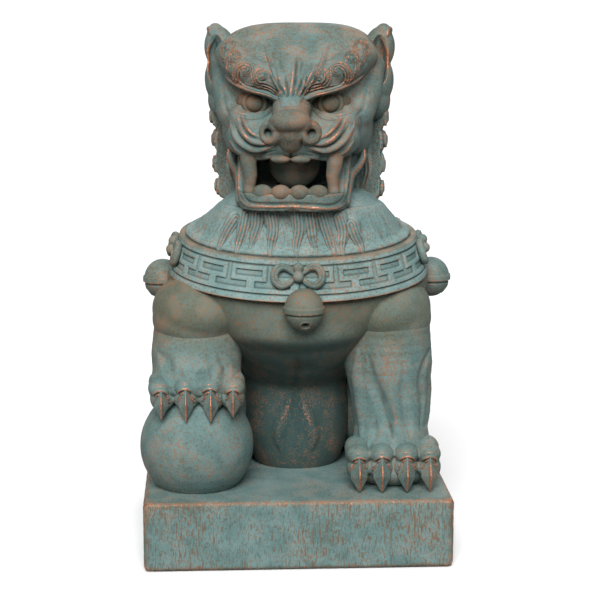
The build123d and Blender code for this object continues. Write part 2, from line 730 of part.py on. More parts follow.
lobes = [
    ellipsoid(head_place(s * LOBE_U, LOBE_V, LOBE_Z), LOBE_HALF_W, LOBE_HALF_D, LOBE_HALF_H)
    for s in SIDES.values()
]
eye_hollows = [
    ellipsoid(head_place(s * EYE_U, EYE_HOLLOW_V, EYE_Z), EYE_HOLLOW_HALF_W, EYE_HOLLOW_HALF_D, EYE_HOLLOW_HALF_H)
    for s in SIDES.values()
]
with BuildPart() as head:
    add(skull_form)
    add(muzzle_form)
    add([fan, bridge])
    add([brow(side) for side in SIDES])
    add(lobes)
    add(eye_hollows, mode=Mode.SUBTRACT)
    split(bisect_by=MOUTH_PLANE, keep=Keep.TOP)
    with Locations(head_point(0, MOUTH_BALL_V, MOUTH_BALL_Z)):
        Sphere(MOUTH_BALL_R + PALATE_CLEAR, mode=Mode.SUBTRACT)
    for side in SIDES:
        with BuildSketch(eye_plane(side)):
            Circle(EYE_R + SEAT_GAP)
        extrude(amount=-EYE_DEPTH, mode=Mode.SUBTRACT)
        with BuildSketch(eye_plane(side)):
            Circle(EYE_R + SEAT_GAP)
        extrude(amount=EYE_DEPTH, mode=Mode.SUBTRACT)
finish(head.part, "head")


def eye(side):
    """Eyeball: a shallow dome with a raised iris, seated in its socket."""
    with BuildPart() as ball:
        with BuildSketch(eye_plane(side).offset(-EYE_DEPTH)):
            Circle(EYE_R)
        extrude(amount=EYE_DEPTH - 3)
        fillet(ball.faces().sort_by(Axis(eye_plane(side).origin, eye_plane(side).z_dir))[-1].edges(), EYE_R / 3)
        with BuildSketch(eye_plane(side).offset(-EYE_DEPTH)):
            Circle(IRIS_R)
        extrude(amount=EYE_DEPTH - 3 + IRIS_PROUD)
    return ball.part


eyes = {side: eye(side) for side in SIDES}
for side, piece in eyes.items():
    finish(piece, f"{side}_eye")

# Nose: a broad bulb with two wings and nostrils, on the end of the muzzle
nose_bulb = ellipsoid(head_place(0, MUZZLE_V + 5, NOSE_Z), NOSE_HALF_W, NOSE_HALF_D, NOSE_HALF_H)
with BuildPart() as nose:
    add(nose_bulb)
    with Locations(*[head_point(s * NOSE_WING_U, MUZZLE_V + 7, NOSE_Z - 4) for s in SIDES.values()]):
        Sphere(NOSE_WING_R)
    for s in SIDES.values():
        with BuildSketch(head_section(MUZZLE_V - NOSE_HALF_D)):
            with Locations((s * (NOSE_WING_U - 2), NOSE_Z - 4)):
                Circle(NOSTRIL_R)
        extrude(amount=-NOSTRIL_DEPTH - NOSE_HALF_D / 2, mode=Mode.SUBTRACT)
    add(head.part, mode=Mode.SUBTRACT)
finish(main_solid(nose.part), "nose")


def lid(side):
    """Heavy eyelid that sweeps up and out over the eye."""
    s = SIDES[side]
    start = head_point(s * LID_INNER_U, BROW_V - 2, LID_INNER_Z)
    middle = head_point(s * (LID_INNER_U + LID_OUTER_U) / 2, BROW_V + 1, (LID_INNER_Z * 0.6 + LID_OUTER_Z * 0.4))
    end = head_point(s * LID_OUTER_U, BROW_V + 22, LID_OUTER_Z)
    with BuildPart() as roll:
        with BuildLine() as path:
            ThreePointArc(start, middle, end)
        with BuildSketch(Plane(origin=path.line @ 0, z_dir=path.line % 0)):
            Circle(LID_R)
        sweep(path=path.line)
        add(head.part, mode=Mode.SUBTRACT)
        add(eyes[side], mode=Mode.SUBTRACT)
    return main_solid(roll.part)


for side in SIDES:
    finish(lid(side), f"{side}_eyelid")


def ear(side):
    """Upright ear: a leaf outline with a hollow towards its outer edge, rooted on the side of the head."""
    s = SIDES[side]
    with BuildPart() as shell:
        with BuildSketch(head_section(EAR_FRONT_V)):
            with BuildLine():
                ThreePointArc(
                    (s * EAR_ROOT_U, EAR_BASE_Z),
                    (s * EAR_OUTER_U * 0.97, EAR_BASE_Z + 4),
                    (s * EAR_OUTER_U, EAR_BASE_Z + 22),
                )
                ThreePointArc(
                    (s * EAR_OUTER_U, EAR_BASE_Z + 22),
                    (s * (EAR_OUTER_U - 0.5), EAR_TIP_Z - 18),
                    (s * EAR_TIP_U, EAR_TIP_Z),
                )
                ThreePointArc(
                    (s * EAR_TIP_U, EAR_TIP_Z),
                    (s * (EAR_TIP_U - 9), EAR_TIP_Z - 3.5),
                    (s * EAR_ROOT_U, EAR_TIP_Z - 16),
                )
                Line((s * EAR_ROOT_U, EAR_TIP_Z - 16), (s * EAR_ROOT_U, EAR_BASE_Z))
            make_face()
        extrude(amount=-EAR_T)
        with Locations(
            head_point(
                s * (EAR_OUTER_U + EAR_HOLLOW_R - EAR_HOLLOW_DEPTH),
                EAR_FRONT_V - EAR_T / 8,
                (EAR_BASE_Z + EAR_TIP_Z) / 2,
            )
        ):
            Sphere(EAR_HOLLOW_R, mode=Mode.SUBTRACT)
        add(head.part, mode=Mode.SUBTRACT)
    return main_solid(shell.part)


ears = {side: ear(side) for side in SIDES}
for side, piece in ears.items():
    finish(piece, f"{side}_ear")

# Fangs at the corners of the mouth, hung from the upper jaw
with BuildPart() as upper_fangs:
    for s in SIDES.values():
        with BuildSketch(MOUTH_PLANE):
            with Locations(head_point(s * FANG_U, FANG_V, 0)):
                Circle(FANG_ROOT_R)
        with BuildSketch(MOUTH_PLANE.offset(-FANG_L)):
            with Locations(head_point(s * (FANG_U - 2), FANG_V, 0)):
                Circle(FANG_TIP_R)
        loft()
finish(upper_fangs.part, "upper_fangs")

# Two front teeth under the upper lip
incisor_places = [head_place(s * INCISOR_U, INCISOR_V, MOUTH_TOP_Z) for s in SIDES.values()]
incisors = [ellipsoid(place, INCISOR_HALF_W, INCISOR_HALF_D, INCISOR_DROP) for place in incisor_places]
with BuildPart() as upper_incisors:
    add(incisors)
    split(bisect_by=MOUTH_PLANE, keep=Keep.BOTTOM)
finish(upper_incisors.part, "upper_incisors")

# Row of bead-shaped lower teeth on the lip
tooth_offsets = [TOOTH_STEP * (i - (TOOTH_COUNT - 1) / 2) for i in range(TOOTH_COUNT)]
tooth_places = [head_place(across, TOOTH_V, MOUTH_FLOOR_Z) for across in tooth_offsets]
teeth = [ellipsoid(place, TOOTH_HALF_W, TOOTH_HALF_D, TOOTH_H) for place in tooth_places]
with BuildPart() as lower_teeth:
    add(teeth)
    split(bisect_by=Plane.XY.offset(MOUTH_FLOOR_Z), keep=Keep.TOP)
finish(lower_teeth.part, "lower_teeth")

# Mane: a hood round the back of the head, with a dome for every curl in staggered rows
def curl(angle, elevation, z, reach):
    """Location of one curl: it stands out from the head's axis at height z, with its own axis outward."""
    level = HEAD_PLANE.x_dir * cos(radians(angle)) + HEAD_PLANE.y_dir * sin(radians(angle))
    outward = level * cos(radians(elevation)) + Vector(0, 0, sin(radians(elevation)))
    return Plane(origin=head_point(0, MANE_V, z) + outward * reach, z_dir=outward).location


row_step = 180 / (ROW_CURLS - 1)
curls = []
for row in range(CURL_ROWS):
    z = RUFF_TOP_Z + CURL_R + row * CURL_RISE
    share = min(1, (z - RUFF_TOP_Z) / (MANE_Z - RUFF_TOP_Z))
    reach = MANE_LOW_R + (MANE_R - MANE_LOW_R) * share + CURL_OUT
    elevation = degrees(asin(max(0, z - MANE_Z) / MANE_R))
    stagger = row_step / 2 * (row % 2)
    for k in range(ROW_CURLS - row % 2):
        curls.append(curl(stagger + row_step * k, elevation, min(z, MANE_Z), reach))
for elevation, count in CROWN_CURLS:
    for k in range(count):
        curls.append(curl(180 * (k + 0.5) / count, elevation, MANE_Z, MANE_R + CURL_OUT))

with BuildPart() as mane:
    with BuildSketch(head_section(MANE_V)):
        with BuildLine():
            Line((MANE_LOW_R, RUFF_TOP_Z), (MANE_R, MANE_Z))
            RadiusArc((MANE_R, MANE_Z), (0, MANE_Z + MANE_R), -MANE_R)
            Polyline((0, MANE_Z + MANE_R), (0, RUFF_TOP_Z), (MANE_LOW_R, RUFF_TOP_Z))
        make_face()
    revolve(axis=Axis(head_point(0, MANE_V, 0), (0, 0, 1)), revolution_arc=180)
    with Locations(*curls):
        Sphere(CURL_R)
    add(head.part, mode=Mode.SUBTRACT)
    add(jaw_form.part, mode=Mode.SUBTRACT)
    for piece in ears.values():
        add(piece, mode=Mode.SUBTRACT)
finish(main_solid(mane.part), "mane")

# Beard: pointed locks that hang from the chin, laid on the front of the ruff
lock_step = 2 * BEARD_HALF_W / BEARD_TIPS
with BuildPart() as ruff_skin:
    with BuildSketch(COLLAR_PLANE.offset(COLLAR_H)):
        with Locations((0, COLLAR_TOP_SHIFT)):
            Ellipse(
                COLLAR_TOP_HALF_W - RUFF_INSET + BEARD_PROUD,
                COLLAR_TOP_HALF_D - RUFF_INSET + BEARD_PROUD,
            )
    with BuildSketch(JAW_SEAT):
        with Locations((HEAD_X, RUFF_TOP_Y)):
            Ellipse(RUFF_TOP_HALF_W + BEARD_PROUD, RUFF_TOP_HALF_D + BEARD_PROUD)
    loft(ruled=True)
with BuildPart() as beard:
    with BuildSketch(head_section(BEARD_BACK_V)):
        with BuildLine():
            Polyline((-BEARD_HALF_W, RUFF_TOP_Z), (BEARD_HALF_W, RUFF_TOP_Z))
            for lock in range(BEARD_TIPS):
                right = BEARD_HALF_W - lock * lock_step
                notch_z = RUFF_TOP_Z if lock == BEARD_TIPS - 1 else BEARD_NOTCH_Z
                Polyline(
                    (right, RUFF_TOP_Z if lock == 0 else BEARD_NOTCH_Z),
                    (right - lock_step / 2, BEARD_TIP_Z),
                    (right - lock_step, notch_z),
                )
        make_face()
    extrude(amount=BEARD_REACH)
    add(ruff_skin.part, mode=Mode.INTERSECT)
    add(neck_ruff.part, mode=Mode.SUBTRACT)
finish(main_solid(beard.part), "beard")

# Bells: a round shell with a raised band and a sound hole, hung below the collar
trunk_parts = [torso.part, collar.part, neck_ruff.part, *shoulders.values()]


def bell(x, y, z):
    """One bell, cut to lie against whatever is behind it."""
    with BuildPart() as shell:
        with Locations((x, y, z)):
            Sphere(BELL_R)
            Cylinder(BELL_R + BELL_BAND_PROUD, BELL_BAND_H)
        with BuildSketch(Plane.XZ.offset(-y)):
            with Locations((x, z - BELL_R * 0.5)):
                Circle(BELL_SLOT_R)
        extrude(amount=2 * BELL_R, mode=Mode.SUBTRACT)
        for piece in trunk_parts:
            add(piece, mode=Mode.SUBTRACT)
    return main_solid(shell.part)


bells = {
    "front": bell(BODY_X, FRONT_BELL_Y, FRONT_BELL_Z),
    "left": bell(mirrored("left", SIDE_BELL_X), SIDE_BELL_Y, SIDE_BELL_Z),
    "right": bell(mirrored("right", SIDE_BELL_X), SIDE_BELL_Y, SIDE_BELL_Z),
}
for place, piece in bells.items():
    finish(piece, f"{place}_bell")


def bow(x, y, facing):
    """One bow: two open loops beside a knot, laid on the collar band and seen along its facing."""
    middle_z = COLLAR_Z + (y - COLLAR_Y) * sin(radians(COLLAR_TILT)) + COLLAR_H * 0.62
    face = Plane(origin=(x, y, middle_z), x_dir=(-facing[1], facing[0], 0), z_dir=(*facing, 0))
    with BuildPart() as knot:
        with BuildSketch(face):
            with Locations((-BOW_SPREAD, 0), (BOW_SPREAD, 0)):
                Circle(BOW_LOOP_R)
            Rectangle(BOW_SPREAD, BOW_LOOP_R)
            with Locations((-BOW_SPREAD, 0), (BOW_SPREAD, 0)):
                Circle(BOW_HOLE_R, mode=Mode.SUBTRACT)
        extrude(amount=-3 * BOW_PROUD)
        with BuildSketch(face):
            with Locations((-BOW_KNOT_R, 0), (BOW_KNOT_R, 0)):
                Circle(BOW_KNOT_R - SEAT_GAP)
        extrude(amount=BOW_PROUD / 2)
        for piece in (collar.part, neck_ruff.part, *bells.values()):
            add(piece, mode=Mode.SUBTRACT)
    return main_solid(knot.part)


half_w = (COLLAR_LOW_HALF_W + COLLAR_TOP_HALF_W) / 2
half_d = (COLLAR_LOW_HALF_D + COLLAR_TOP_HALF_D) / 2 - COLLAR_TOP_SHIFT / 2
finish(bow(BODY_X, COLLAR_Y - half_d - BOW_PROUD, (0, -1)), "front_bow")
for side, s in SIDES.items():
    finish(bow(mirrored(side, half_w + BOW_PROUD), SIDE_BELL_Y, (s, 0)), f"{side}_bow")
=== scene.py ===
# %% [markdown]
# # A seated guardian lion with a patina finish
# The real object is a garden or shelf statue cast in sections: a lion sits on a block, one paw on a ball,
# and a loose ball lies behind its teeth. The cast is painted verdigris, and the raised lines are rubbed
# back to copper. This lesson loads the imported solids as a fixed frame, then gives every solid a finely
# modelled skin of its own.

# %% Load the frame
import math

import bpy
import numpy as np
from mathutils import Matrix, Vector
from mathutils.bvhtree import BVHTree


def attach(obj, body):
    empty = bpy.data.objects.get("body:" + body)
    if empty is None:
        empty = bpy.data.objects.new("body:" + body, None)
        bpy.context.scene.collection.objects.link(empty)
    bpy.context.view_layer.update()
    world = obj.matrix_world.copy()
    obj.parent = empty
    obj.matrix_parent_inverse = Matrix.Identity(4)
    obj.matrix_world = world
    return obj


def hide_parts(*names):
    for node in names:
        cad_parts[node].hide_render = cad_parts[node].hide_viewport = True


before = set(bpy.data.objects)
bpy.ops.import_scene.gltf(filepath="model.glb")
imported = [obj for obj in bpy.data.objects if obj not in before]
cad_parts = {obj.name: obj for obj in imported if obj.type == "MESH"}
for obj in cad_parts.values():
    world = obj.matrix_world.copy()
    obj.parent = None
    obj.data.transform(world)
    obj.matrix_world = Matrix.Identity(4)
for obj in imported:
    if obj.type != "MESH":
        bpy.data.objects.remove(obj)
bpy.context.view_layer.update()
MM = 0.001

# %% [markdown]
# ## The camera comes first
# The photograph looks down on the lion by ten degrees, from a little to its right, with a long lens. The
# camera could be set by eye, but the plinth's edges and the ball give its place by measurement. Its rays
# are kept, because lines drawn on the photograph are later followed along a ray until they land on the
# modelled surface.

# %% Set the camera
eye_mm = np.array((-68.6, -1360.9, 436.7))
bpy.ops.object.camera_add(location=eye_mm * MM, rotation=(math.radians(80), 0, math.radians(-3)))
camera = bpy.context.object
camera.name = "photo_camera"
camera.data.lens = 103.2
camera.data.sensor_width = 36
camera.data.clip_start = 0.05
bpy.context.scene.camera = camera
bpy.context.view_layer.update()
turn = np.array(camera.matrix_world.to_3x3())
cam_right, cam_up, cam_look = turn[:, 0], turn[:, 1], -turn[:, 2]
frame_px = 591
focal_px = camera.data.lens / camera.data.sensor_width * frame_px


def ray(x, y):
    """Direction in which the camera sees a pixel of the photograph."""
    across = (x - frame_px / 2) / focal_px
    upward = (frame_px / 2 - y) / focal_px
    way = cam_look + cam_right * across + cam_up * upward
    return way / np.linalg.norm(way)


print("camera looks along", cam_look.round(3))

# %% [markdown]
# ## Floor and light
# A catalogue picture has a white sweep and large soft lamps. One wide lamp above and in front gives the
# shadow under the chest and chin, a weak one on each side keeps the flanks readable, a wide one behind does
# the same for the back, and a dim world fills the rest. A white floor would light the belly from below, so
# it is hidden from bounced light, as a black card on the sweep would do.

# %% Make the floor and lamps
bpy.ops.mesh.primitive_plane_add(size=600, location=(0, 100, 0))
floor = bpy.context.object
floor.name = "floor"
paper = bpy.data.materials.new("white_sweep")
paper.use_nodes = True
paper.node_tree.nodes["Principled BSDF"].inputs["Base Color"].default_value = (0.9, 0.9, 0.9, 1)
paper.node_tree.nodes["Principled BSDF"].inputs["Roughness"].default_value = 0.9
floor.data.materials.append(paper)
floor.visible_diffuse = False


def lamp(name, place, target, size, watts):
    """A square soft lamp that faces a point."""
    way = Vector(target) - Vector(place)
    bpy.ops.object.light_add(type="AREA", location=place, rotation=way.to_track_quat("-Z", "Y").to_euler())
    light = bpy.context.object
    light.name = name
    light.data.size = size
    light.data.energy = watts


def far_lamp(name, tip, lean, strength, spread):
    """A wide lamp far away: tip and lean turn it, and spread is how wide it looks, in degrees."""
    bpy.ops.object.light_add(type="SUN", rotation=(math.radians(tip), math.radians(lean), 0))
    light = bpy.context.object
    light.name = name
    light.data.energy = strength
    light.data.angle = math.radians(spread)


far_lamp("sky_lamp", 49, -8, 4.6, 38)
lamp("left_lamp", (-1.4, -1.2, 0.9), (0, 0, 0.25), 0.8, 2.5)
lamp("right_lamp", (1.4, -1.1, 0.9), (0, 0, 0.25), 0.8, 2.5)
far_lamp("back_lamp", -52, 14, 1.3, 50)
world = bpy.data.worlds.new("pale_room")
bpy.context.scene.world = world
world.use_nodes = True
world.node_tree.nodes["Background"].inputs["Color"].default_value = (1, 1, 1, 1)
world.node_tree.nodes["Background"].inputs["Strength"].default_value = 0.11
bpy.context.scene.view_settings.view_transform = "Standard"

# %% [markdown]
# ## Shader maths as plain expressions
# A patina needs many masks that are added and multiplied. Wiring Math nodes by hand hides the idea, so a
# small class wraps a socket and turns ordinary operators into nodes.


# %% A socket that can be used in sums
class Shade:
    """A socket in a material's nodes, used as a number."""

    def __init__(self, tree, socket):
        self.tree = tree
        self.socket = socket

    def node(self, kind, settings=None, sockets=None, out=0):
        """Adds a node: its settings first, then the values or links of its sockets."""
        made = self.tree.nodes.new(kind)
        for key, value in (settings or {}).items():
            setattr(made, key, value)
        for key, value in (sockets or {}).items():
            if isinstance(value, Shade):
                self.tree.links.new(value.socket, made.inputs[key])
            else:
                made.inputs[key].default_value = value
        return Shade(self.tree, made.outputs[out])

    def sum(self, operation, first, second):
        return self.node("ShaderNodeMath", {"operation": operation}, {0: first, 1: second})

    def __add__(self, other):
        return self.sum("ADD", self, other)

    def __sub__(self, other):
        return self.sum("SUBTRACT", self, other)

    def __rsub__(self, other):
        return self.sum("SUBTRACT", other, self)

    def __mul__(self, other):
        return self.sum("MULTIPLY", self, other)

    def step(self, low, high):
        """Goes smoothly from 0 at low to 1 at high."""
        spans = {"Value": self, "From Min": low, "From Max": high}
        return self.node("ShaderNodeMapRange", {"interpolation_type": "SMOOTHSTEP"}, spans)

    def mix(self, first, second):
        """A colour between two colours, with this number as the share of the second."""
        return self.node("ShaderNodeMix", {"data_type": "RGBA"}, {0: self, 6: first, 7: second}, out=2)


# %% [markdown]
# ## The patina
# The finish on the real cast has five layers: a grey-green paint that varies from patch to patch, a brown
# film on broad swells, a darker green wash that stays in the hollows, copper flecks and bare copper on
# every raised line, and small dark pores. The darker green wash is also used as painted shade. Besides the
# patina kept in creases and hollows, it stands for the shade there, and in a few places for the shade
# under forms and inside the mouth. Some of these follow the shape, so each piece carries three values per
# point, for wear, for the dark wash and for swell, that are worked out from its form. The others follow the
# place in space, so they come from noise on Object coordinates. The chest is browner and darker than the
# rest, partly because it was rubbed browner and partly as painted shade under the collar. That too is set
# by place, so that it fades out evenly from one piece to the next.


# %% Mix the patina
def colour(r, g, b):
    """A screen colour of 0 to 255 as the linear colour that shaders use."""
    made = [(c / 255) / 12.92 if c <= 10 else (((c / 255) + 0.055) / 1.055) ** 2.4 for c in (r, g, b)]
    return (*made, 1)


def patina(name, khaki=0.5, brushed=0.0, film_tone=(120, 110, 92), chest_tone=None, pale=0):
    """The weathered finish.

    khaki is how much of it is rubbed brown, in film_tone, and chest_tone is the darker brown of the chest,
    partly rubbed paint and partly painted shade under the collar.
    brushed adds upright tool marks, and pale lightens the paint.
    """
    made = bpy.data.materials.new(name)
    made.use_nodes = True
    tree = made.node_tree
    paint = tree.nodes["Principled BSDF"]
    place = Shade(tree, tree.nodes.new("ShaderNodeTexCoord").outputs["Object"])

    def noise(scale, detail=4.0, rough=0.55, where=place):
        sockets = {"Vector": where, "Scale": scale, "Detail": detail, "Roughness": rough}
        return place.node("ShaderNodeTexNoise", {}, sockets)

    wear = place.node("ShaderNodeAttribute", {"attribute_name": "wear"}, out="Fac")
    grime_and_shade = place.node("ShaderNodeAttribute", {"attribute_name": "grime_and_shade"}, out="Fac")
    swell = place.node("ShaderNodeAttribute", {"attribute_name": "swell"}, out="Fac")
    cloud, patch, grain, dust = noise(14), noise(60), noise(560, 3.0), noise(1500, 2.0)

    level = place.node("ShaderNodeSeparateXYZ", {}, {0: place}, out="Z")
    back = place.node("ShaderNodeSeparateXYZ", {}, {0: place}, out="Y")
    deep, light = (86, 113, 111), (104, 130, 128)
    skin = patch.step(0.3, 0.7).mix(colour(*(c + pale for c in deep)), colour(*(c + pale for c in light)))
    skin = (grain.step(0.48, 0.68) * 0.28).mix(skin, colour(62, 90, 89))
    tone = patch.step(0.4, 0.6).mix(colour(*(0.86 * c for c in film_tone)), colour(*film_tone))
    brown = khaki * 0.45
    # Front of the body from about 150 mm up turns to chest_tone: partly brown rub, partly painted shade
    # under the collar.
    if chest_tone:
        chest = level.step(0.150, 0.190) * back.step(0.0, -0.04)
        tone = chest.mix(tone, colour(*chest_tone))
        brown = chest * 0.55 + brown
    film = (swell * 0.85 + (cloud - 0.5) * 1.1 + (grain - 0.5) * 0.9 + brown).step(0.1, 1.0)
    skin = (film * 0.7).mix(skin, tone)
    # Dark green where the wash value is high: patina kept in hollows, and painted shade in creases and under
    # forms.
    low = grime_and_shade.step(0.05, 0.85) * 0.85
    skin = low.mix(skin, colour(30, 58, 57))
    fleck = dust * 0.55 + grain * 0.45 + (cloud - 0.5) * 0.2 + (patch - 0.5) * 0.1
    fleck = (fleck + khaki * 0.05 + swell * 0.03).step(0.54, 0.61)
    fleck_tone = patch.step(0.42, 0.6).mix(colour(92, 80, 58), colour(138, 97, 69))
    skin = (fleck * 0.8).mix(skin, fleck_tone)
    bare = (wear + swell * 0.12 + (grain - 0.5) * 1.3 + (dust - 0.5) * 1.3).step(0.4, 0.8)
    metal = (grain * 0.5 + dust * 0.5).step(0.4, 0.62).mix(colour(124, 78, 56), colour(184, 122, 90))
    skin = (bare * 0.9).mix(skin, metal)

    relief = grain * 0.6 + dust * 0.4
    if brushed:
        brushed = (1 - level.step(0.0530, 0.0545)) * brushed
        stretch = place.node("ShaderNodeMapping", {}, {"Vector": place, "Scale": (1.0, 1.0, 0.17)})
        marks = noise(600, 1.8, 0.55, stretch)
        streak = (marks + (cloud - 0.5) * 0.35).step(0.56, 0.62) * brushed * 0.7
        skin = streak.mix(skin, dust.step(0.42, 0.6).mix(colour(86, 78, 60), colour(116, 80, 58)))
        skin = (marks.step(0.44, 0.36) * 0.45 * brushed).mix(skin, colour(62, 86, 84))
        relief = relief + marks * 3.5
    cells = place.node("ShaderNodeTexVoronoi", {}, {"Vector": place, "Scale": 170.0}, out="Distance")
    pore = cells.step(0.1, 0.04) * cloud.step(0.45, 0.6)
    skin = (pore * 0.8).mix(skin, colour(30, 42, 40))
    relief = relief - pore * 1.5

    tree.links.new(skin.socket, paint.inputs["Base Color"])
    tree.links.new((0.76 - bare * 0.34 + low * 0.1).socket, paint.inputs["Roughness"])
    tree.links.new((bare * 0.45).socket, paint.inputs["Metallic"])
    bump = place.node("ShaderNodeBump", {}, {"Strength": 0.4, "Distance": 0.0005, "Height": relief})
    tree.links.new(bump.socket, paint.inputs["Normal"])
    paint.inputs["Specular IOR Level"].default_value = 0.35
    return made


chest_tone = (92, 88, 66)
body_finish = patina("patina_body", khaki=0.65, chest_tone=chest_tone)
head_finish = patina("patina_head", khaki=0.75, film_tone=(124, 106, 84))
hair_finish = patina("patina_hair", khaki=0.25, pale=18)
mane_finish = patina("patina_mane", khaki=1.1, film_tone=(138, 120, 94), pale=24)
rubbed_finish = patina("patina_rubbed", khaki=1.5, film_tone=(110, 88, 68))
ball_finish = patina("patina_ball", khaki=0.4)
plinth_finish = patina("patina_plinth", khaki=0.2, brushed=1.0, pale=6)
print("finishes", [m.name for m in bpy.data.materials if m.name.startswith("patina")])

# %% [markdown]
# ## Casting a form from lumps
# A modeller in clay starts with balls and sausages pressed together. Here each lump is a sphere primitive
# that is scaled and turned, the lumps are joined, a voxel Remesh makes one skin over them, and a Smooth
# takes the steps off.

# %% Lumps and casting
bpy.ops.object.select_all(action="DESELECT")
bpy.ops.mesh.primitive_uv_sphere_add(segments=40, ring_count=20, radius=1)
clay_ball = bpy.context.object


def lump(centre, radii, turn=(0, 0, 0)):
    """A copy of the clay ball, scaled and turned, in millimetres and degrees."""
    made = clay_ball.copy()
    made.data = clay_ball.data.copy()
    made.location = np.array(centre) * MM
    made.rotation_euler = [math.radians(t) for t in turn]
    made.scale = np.array(radii) * MM
    bpy.context.scene.collection.objects.link(made)
    return made


def apply(piece, kind, **settings):
    """Adds a modifier to a piece and applies it."""
    bpy.ops.object.select_all(action="DESELECT")
    piece.select_set(True)
    bpy.context.view_layer.objects.active = piece
    made = piece.modifiers.new(kind.lower(), kind)
    for key, value in settings.items():
        setattr(made, key, value)
    bpy.ops.object.modifier_apply(modifier=made.name)


def join(name, lumps):
    """Joins objects into one, with its place in the mesh."""
    bpy.ops.object.select_all(action="DESELECT")
    for one in lumps:
        one.select_set(True)
    bpy.context.view_layer.objects.active = lumps[0]
    if len(lumps) > 1:
        bpy.ops.object.join()
    piece = lumps[0]
    bpy.ops.object.transform_apply(location=True, rotation=True, scale=True)
    piece.name = name
    piece.data.name = name
    return piece


def cast(name, lumps, grain, rounds=8):
    """One smooth skin over some lumps, with points about grain millimetres apart."""
    piece = join(name, lumps)
    apply(piece, "REMESH", mode="VOXEL", voxel_size=grain * MM)
    apply(piece, "SMOOTH", factor=0.5, iterations=rounds)
    return piece


def copy_of(node):
    """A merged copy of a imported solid, as a lump."""
    made = bpy.data.objects.new(node + "_copy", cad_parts[node].data.copy())
    bpy.context.scene.collection.objects.link(made)
    bpy.ops.object.select_all(action="DESELECT")
    made.select_set(True)
    bpy.context.view_layer.objects.active = made
    bpy.ops.object.mode_set(mode="EDIT")
    bpy.ops.mesh.select_all(action="SELECT")
    bpy.ops.mesh.remove_doubles(threshold=1e-5)
    bpy.ops.object.mode_set(mode="OBJECT")
    return made


def limb(stations, between=3):
    """Lumps along a limb: each station is a centre and its radii, and some more lie between two stations."""
    made = []
    for (c0, r0), (c1, r1) in zip(stations, stations[1:]):
        for share in np.linspace(0, 1, between + 1, endpoint=False):
            centre = np.array(c0) * (1 - share) + np.array(c1) * share
            radii = np.array(r0) * (1 - share) + np.array(r1) * share
            made.append(lump(centre, radii))
    made.append(lump(*stations[-1]))
    return made


# %% [markdown]
# ## Tools for lines in the clay
# Hair, folds and curls are lines pressed into a smooth form. Sculpt brushes need a window, so the same
# thing is done on the points: a line is laid on the surface, and every point near it rises or sinks along
# its normal by its distance from the line. A comb is a line with several crests side by side. Crests are
# marked as worn. Grooves get the dark wash, which is partly patina and partly painted shade.


# %% Smooth paths
def smooth_path(points, step):
    """A smooth curve through some points, with a point about every step."""
    p = np.asarray(points, float)
    if len(p) < 3:
        count = max(2, int(np.linalg.norm(p[-1] - p[0]) / step) + 1)
        return p[0] + (p[-1] - p[0]) * np.linspace(0, 1, count)[:, None]
    wide = np.vstack((2 * p[0] - p[1], p, 2 * p[-1] - p[-2]))
    runs = []
    for a, b, c, d in zip(wide, wide[1:], wide[2:], wide[3:]):
        count = max(2, int(np.linalg.norm(c - b) / step) + 1)
        t = np.linspace(0, 1, count, endpoint=False)[:, None]
        bend = (2 * a - 5 * b + 4 * c - d) * t**2 + (3 * b - a - 3 * c + d) * t**3
        runs.append(0.5 * (2 * b + (c - a) * t + bend))
    return np.vstack(runs + [p[-1:]])


def ramp(values, low, high):
    """Goes smoothly from 0 at low to 1 at high, for numbers."""
    share = np.clip((values - low) / (high - low), 0, 1)
    return share * share * (3 - 2 * share)


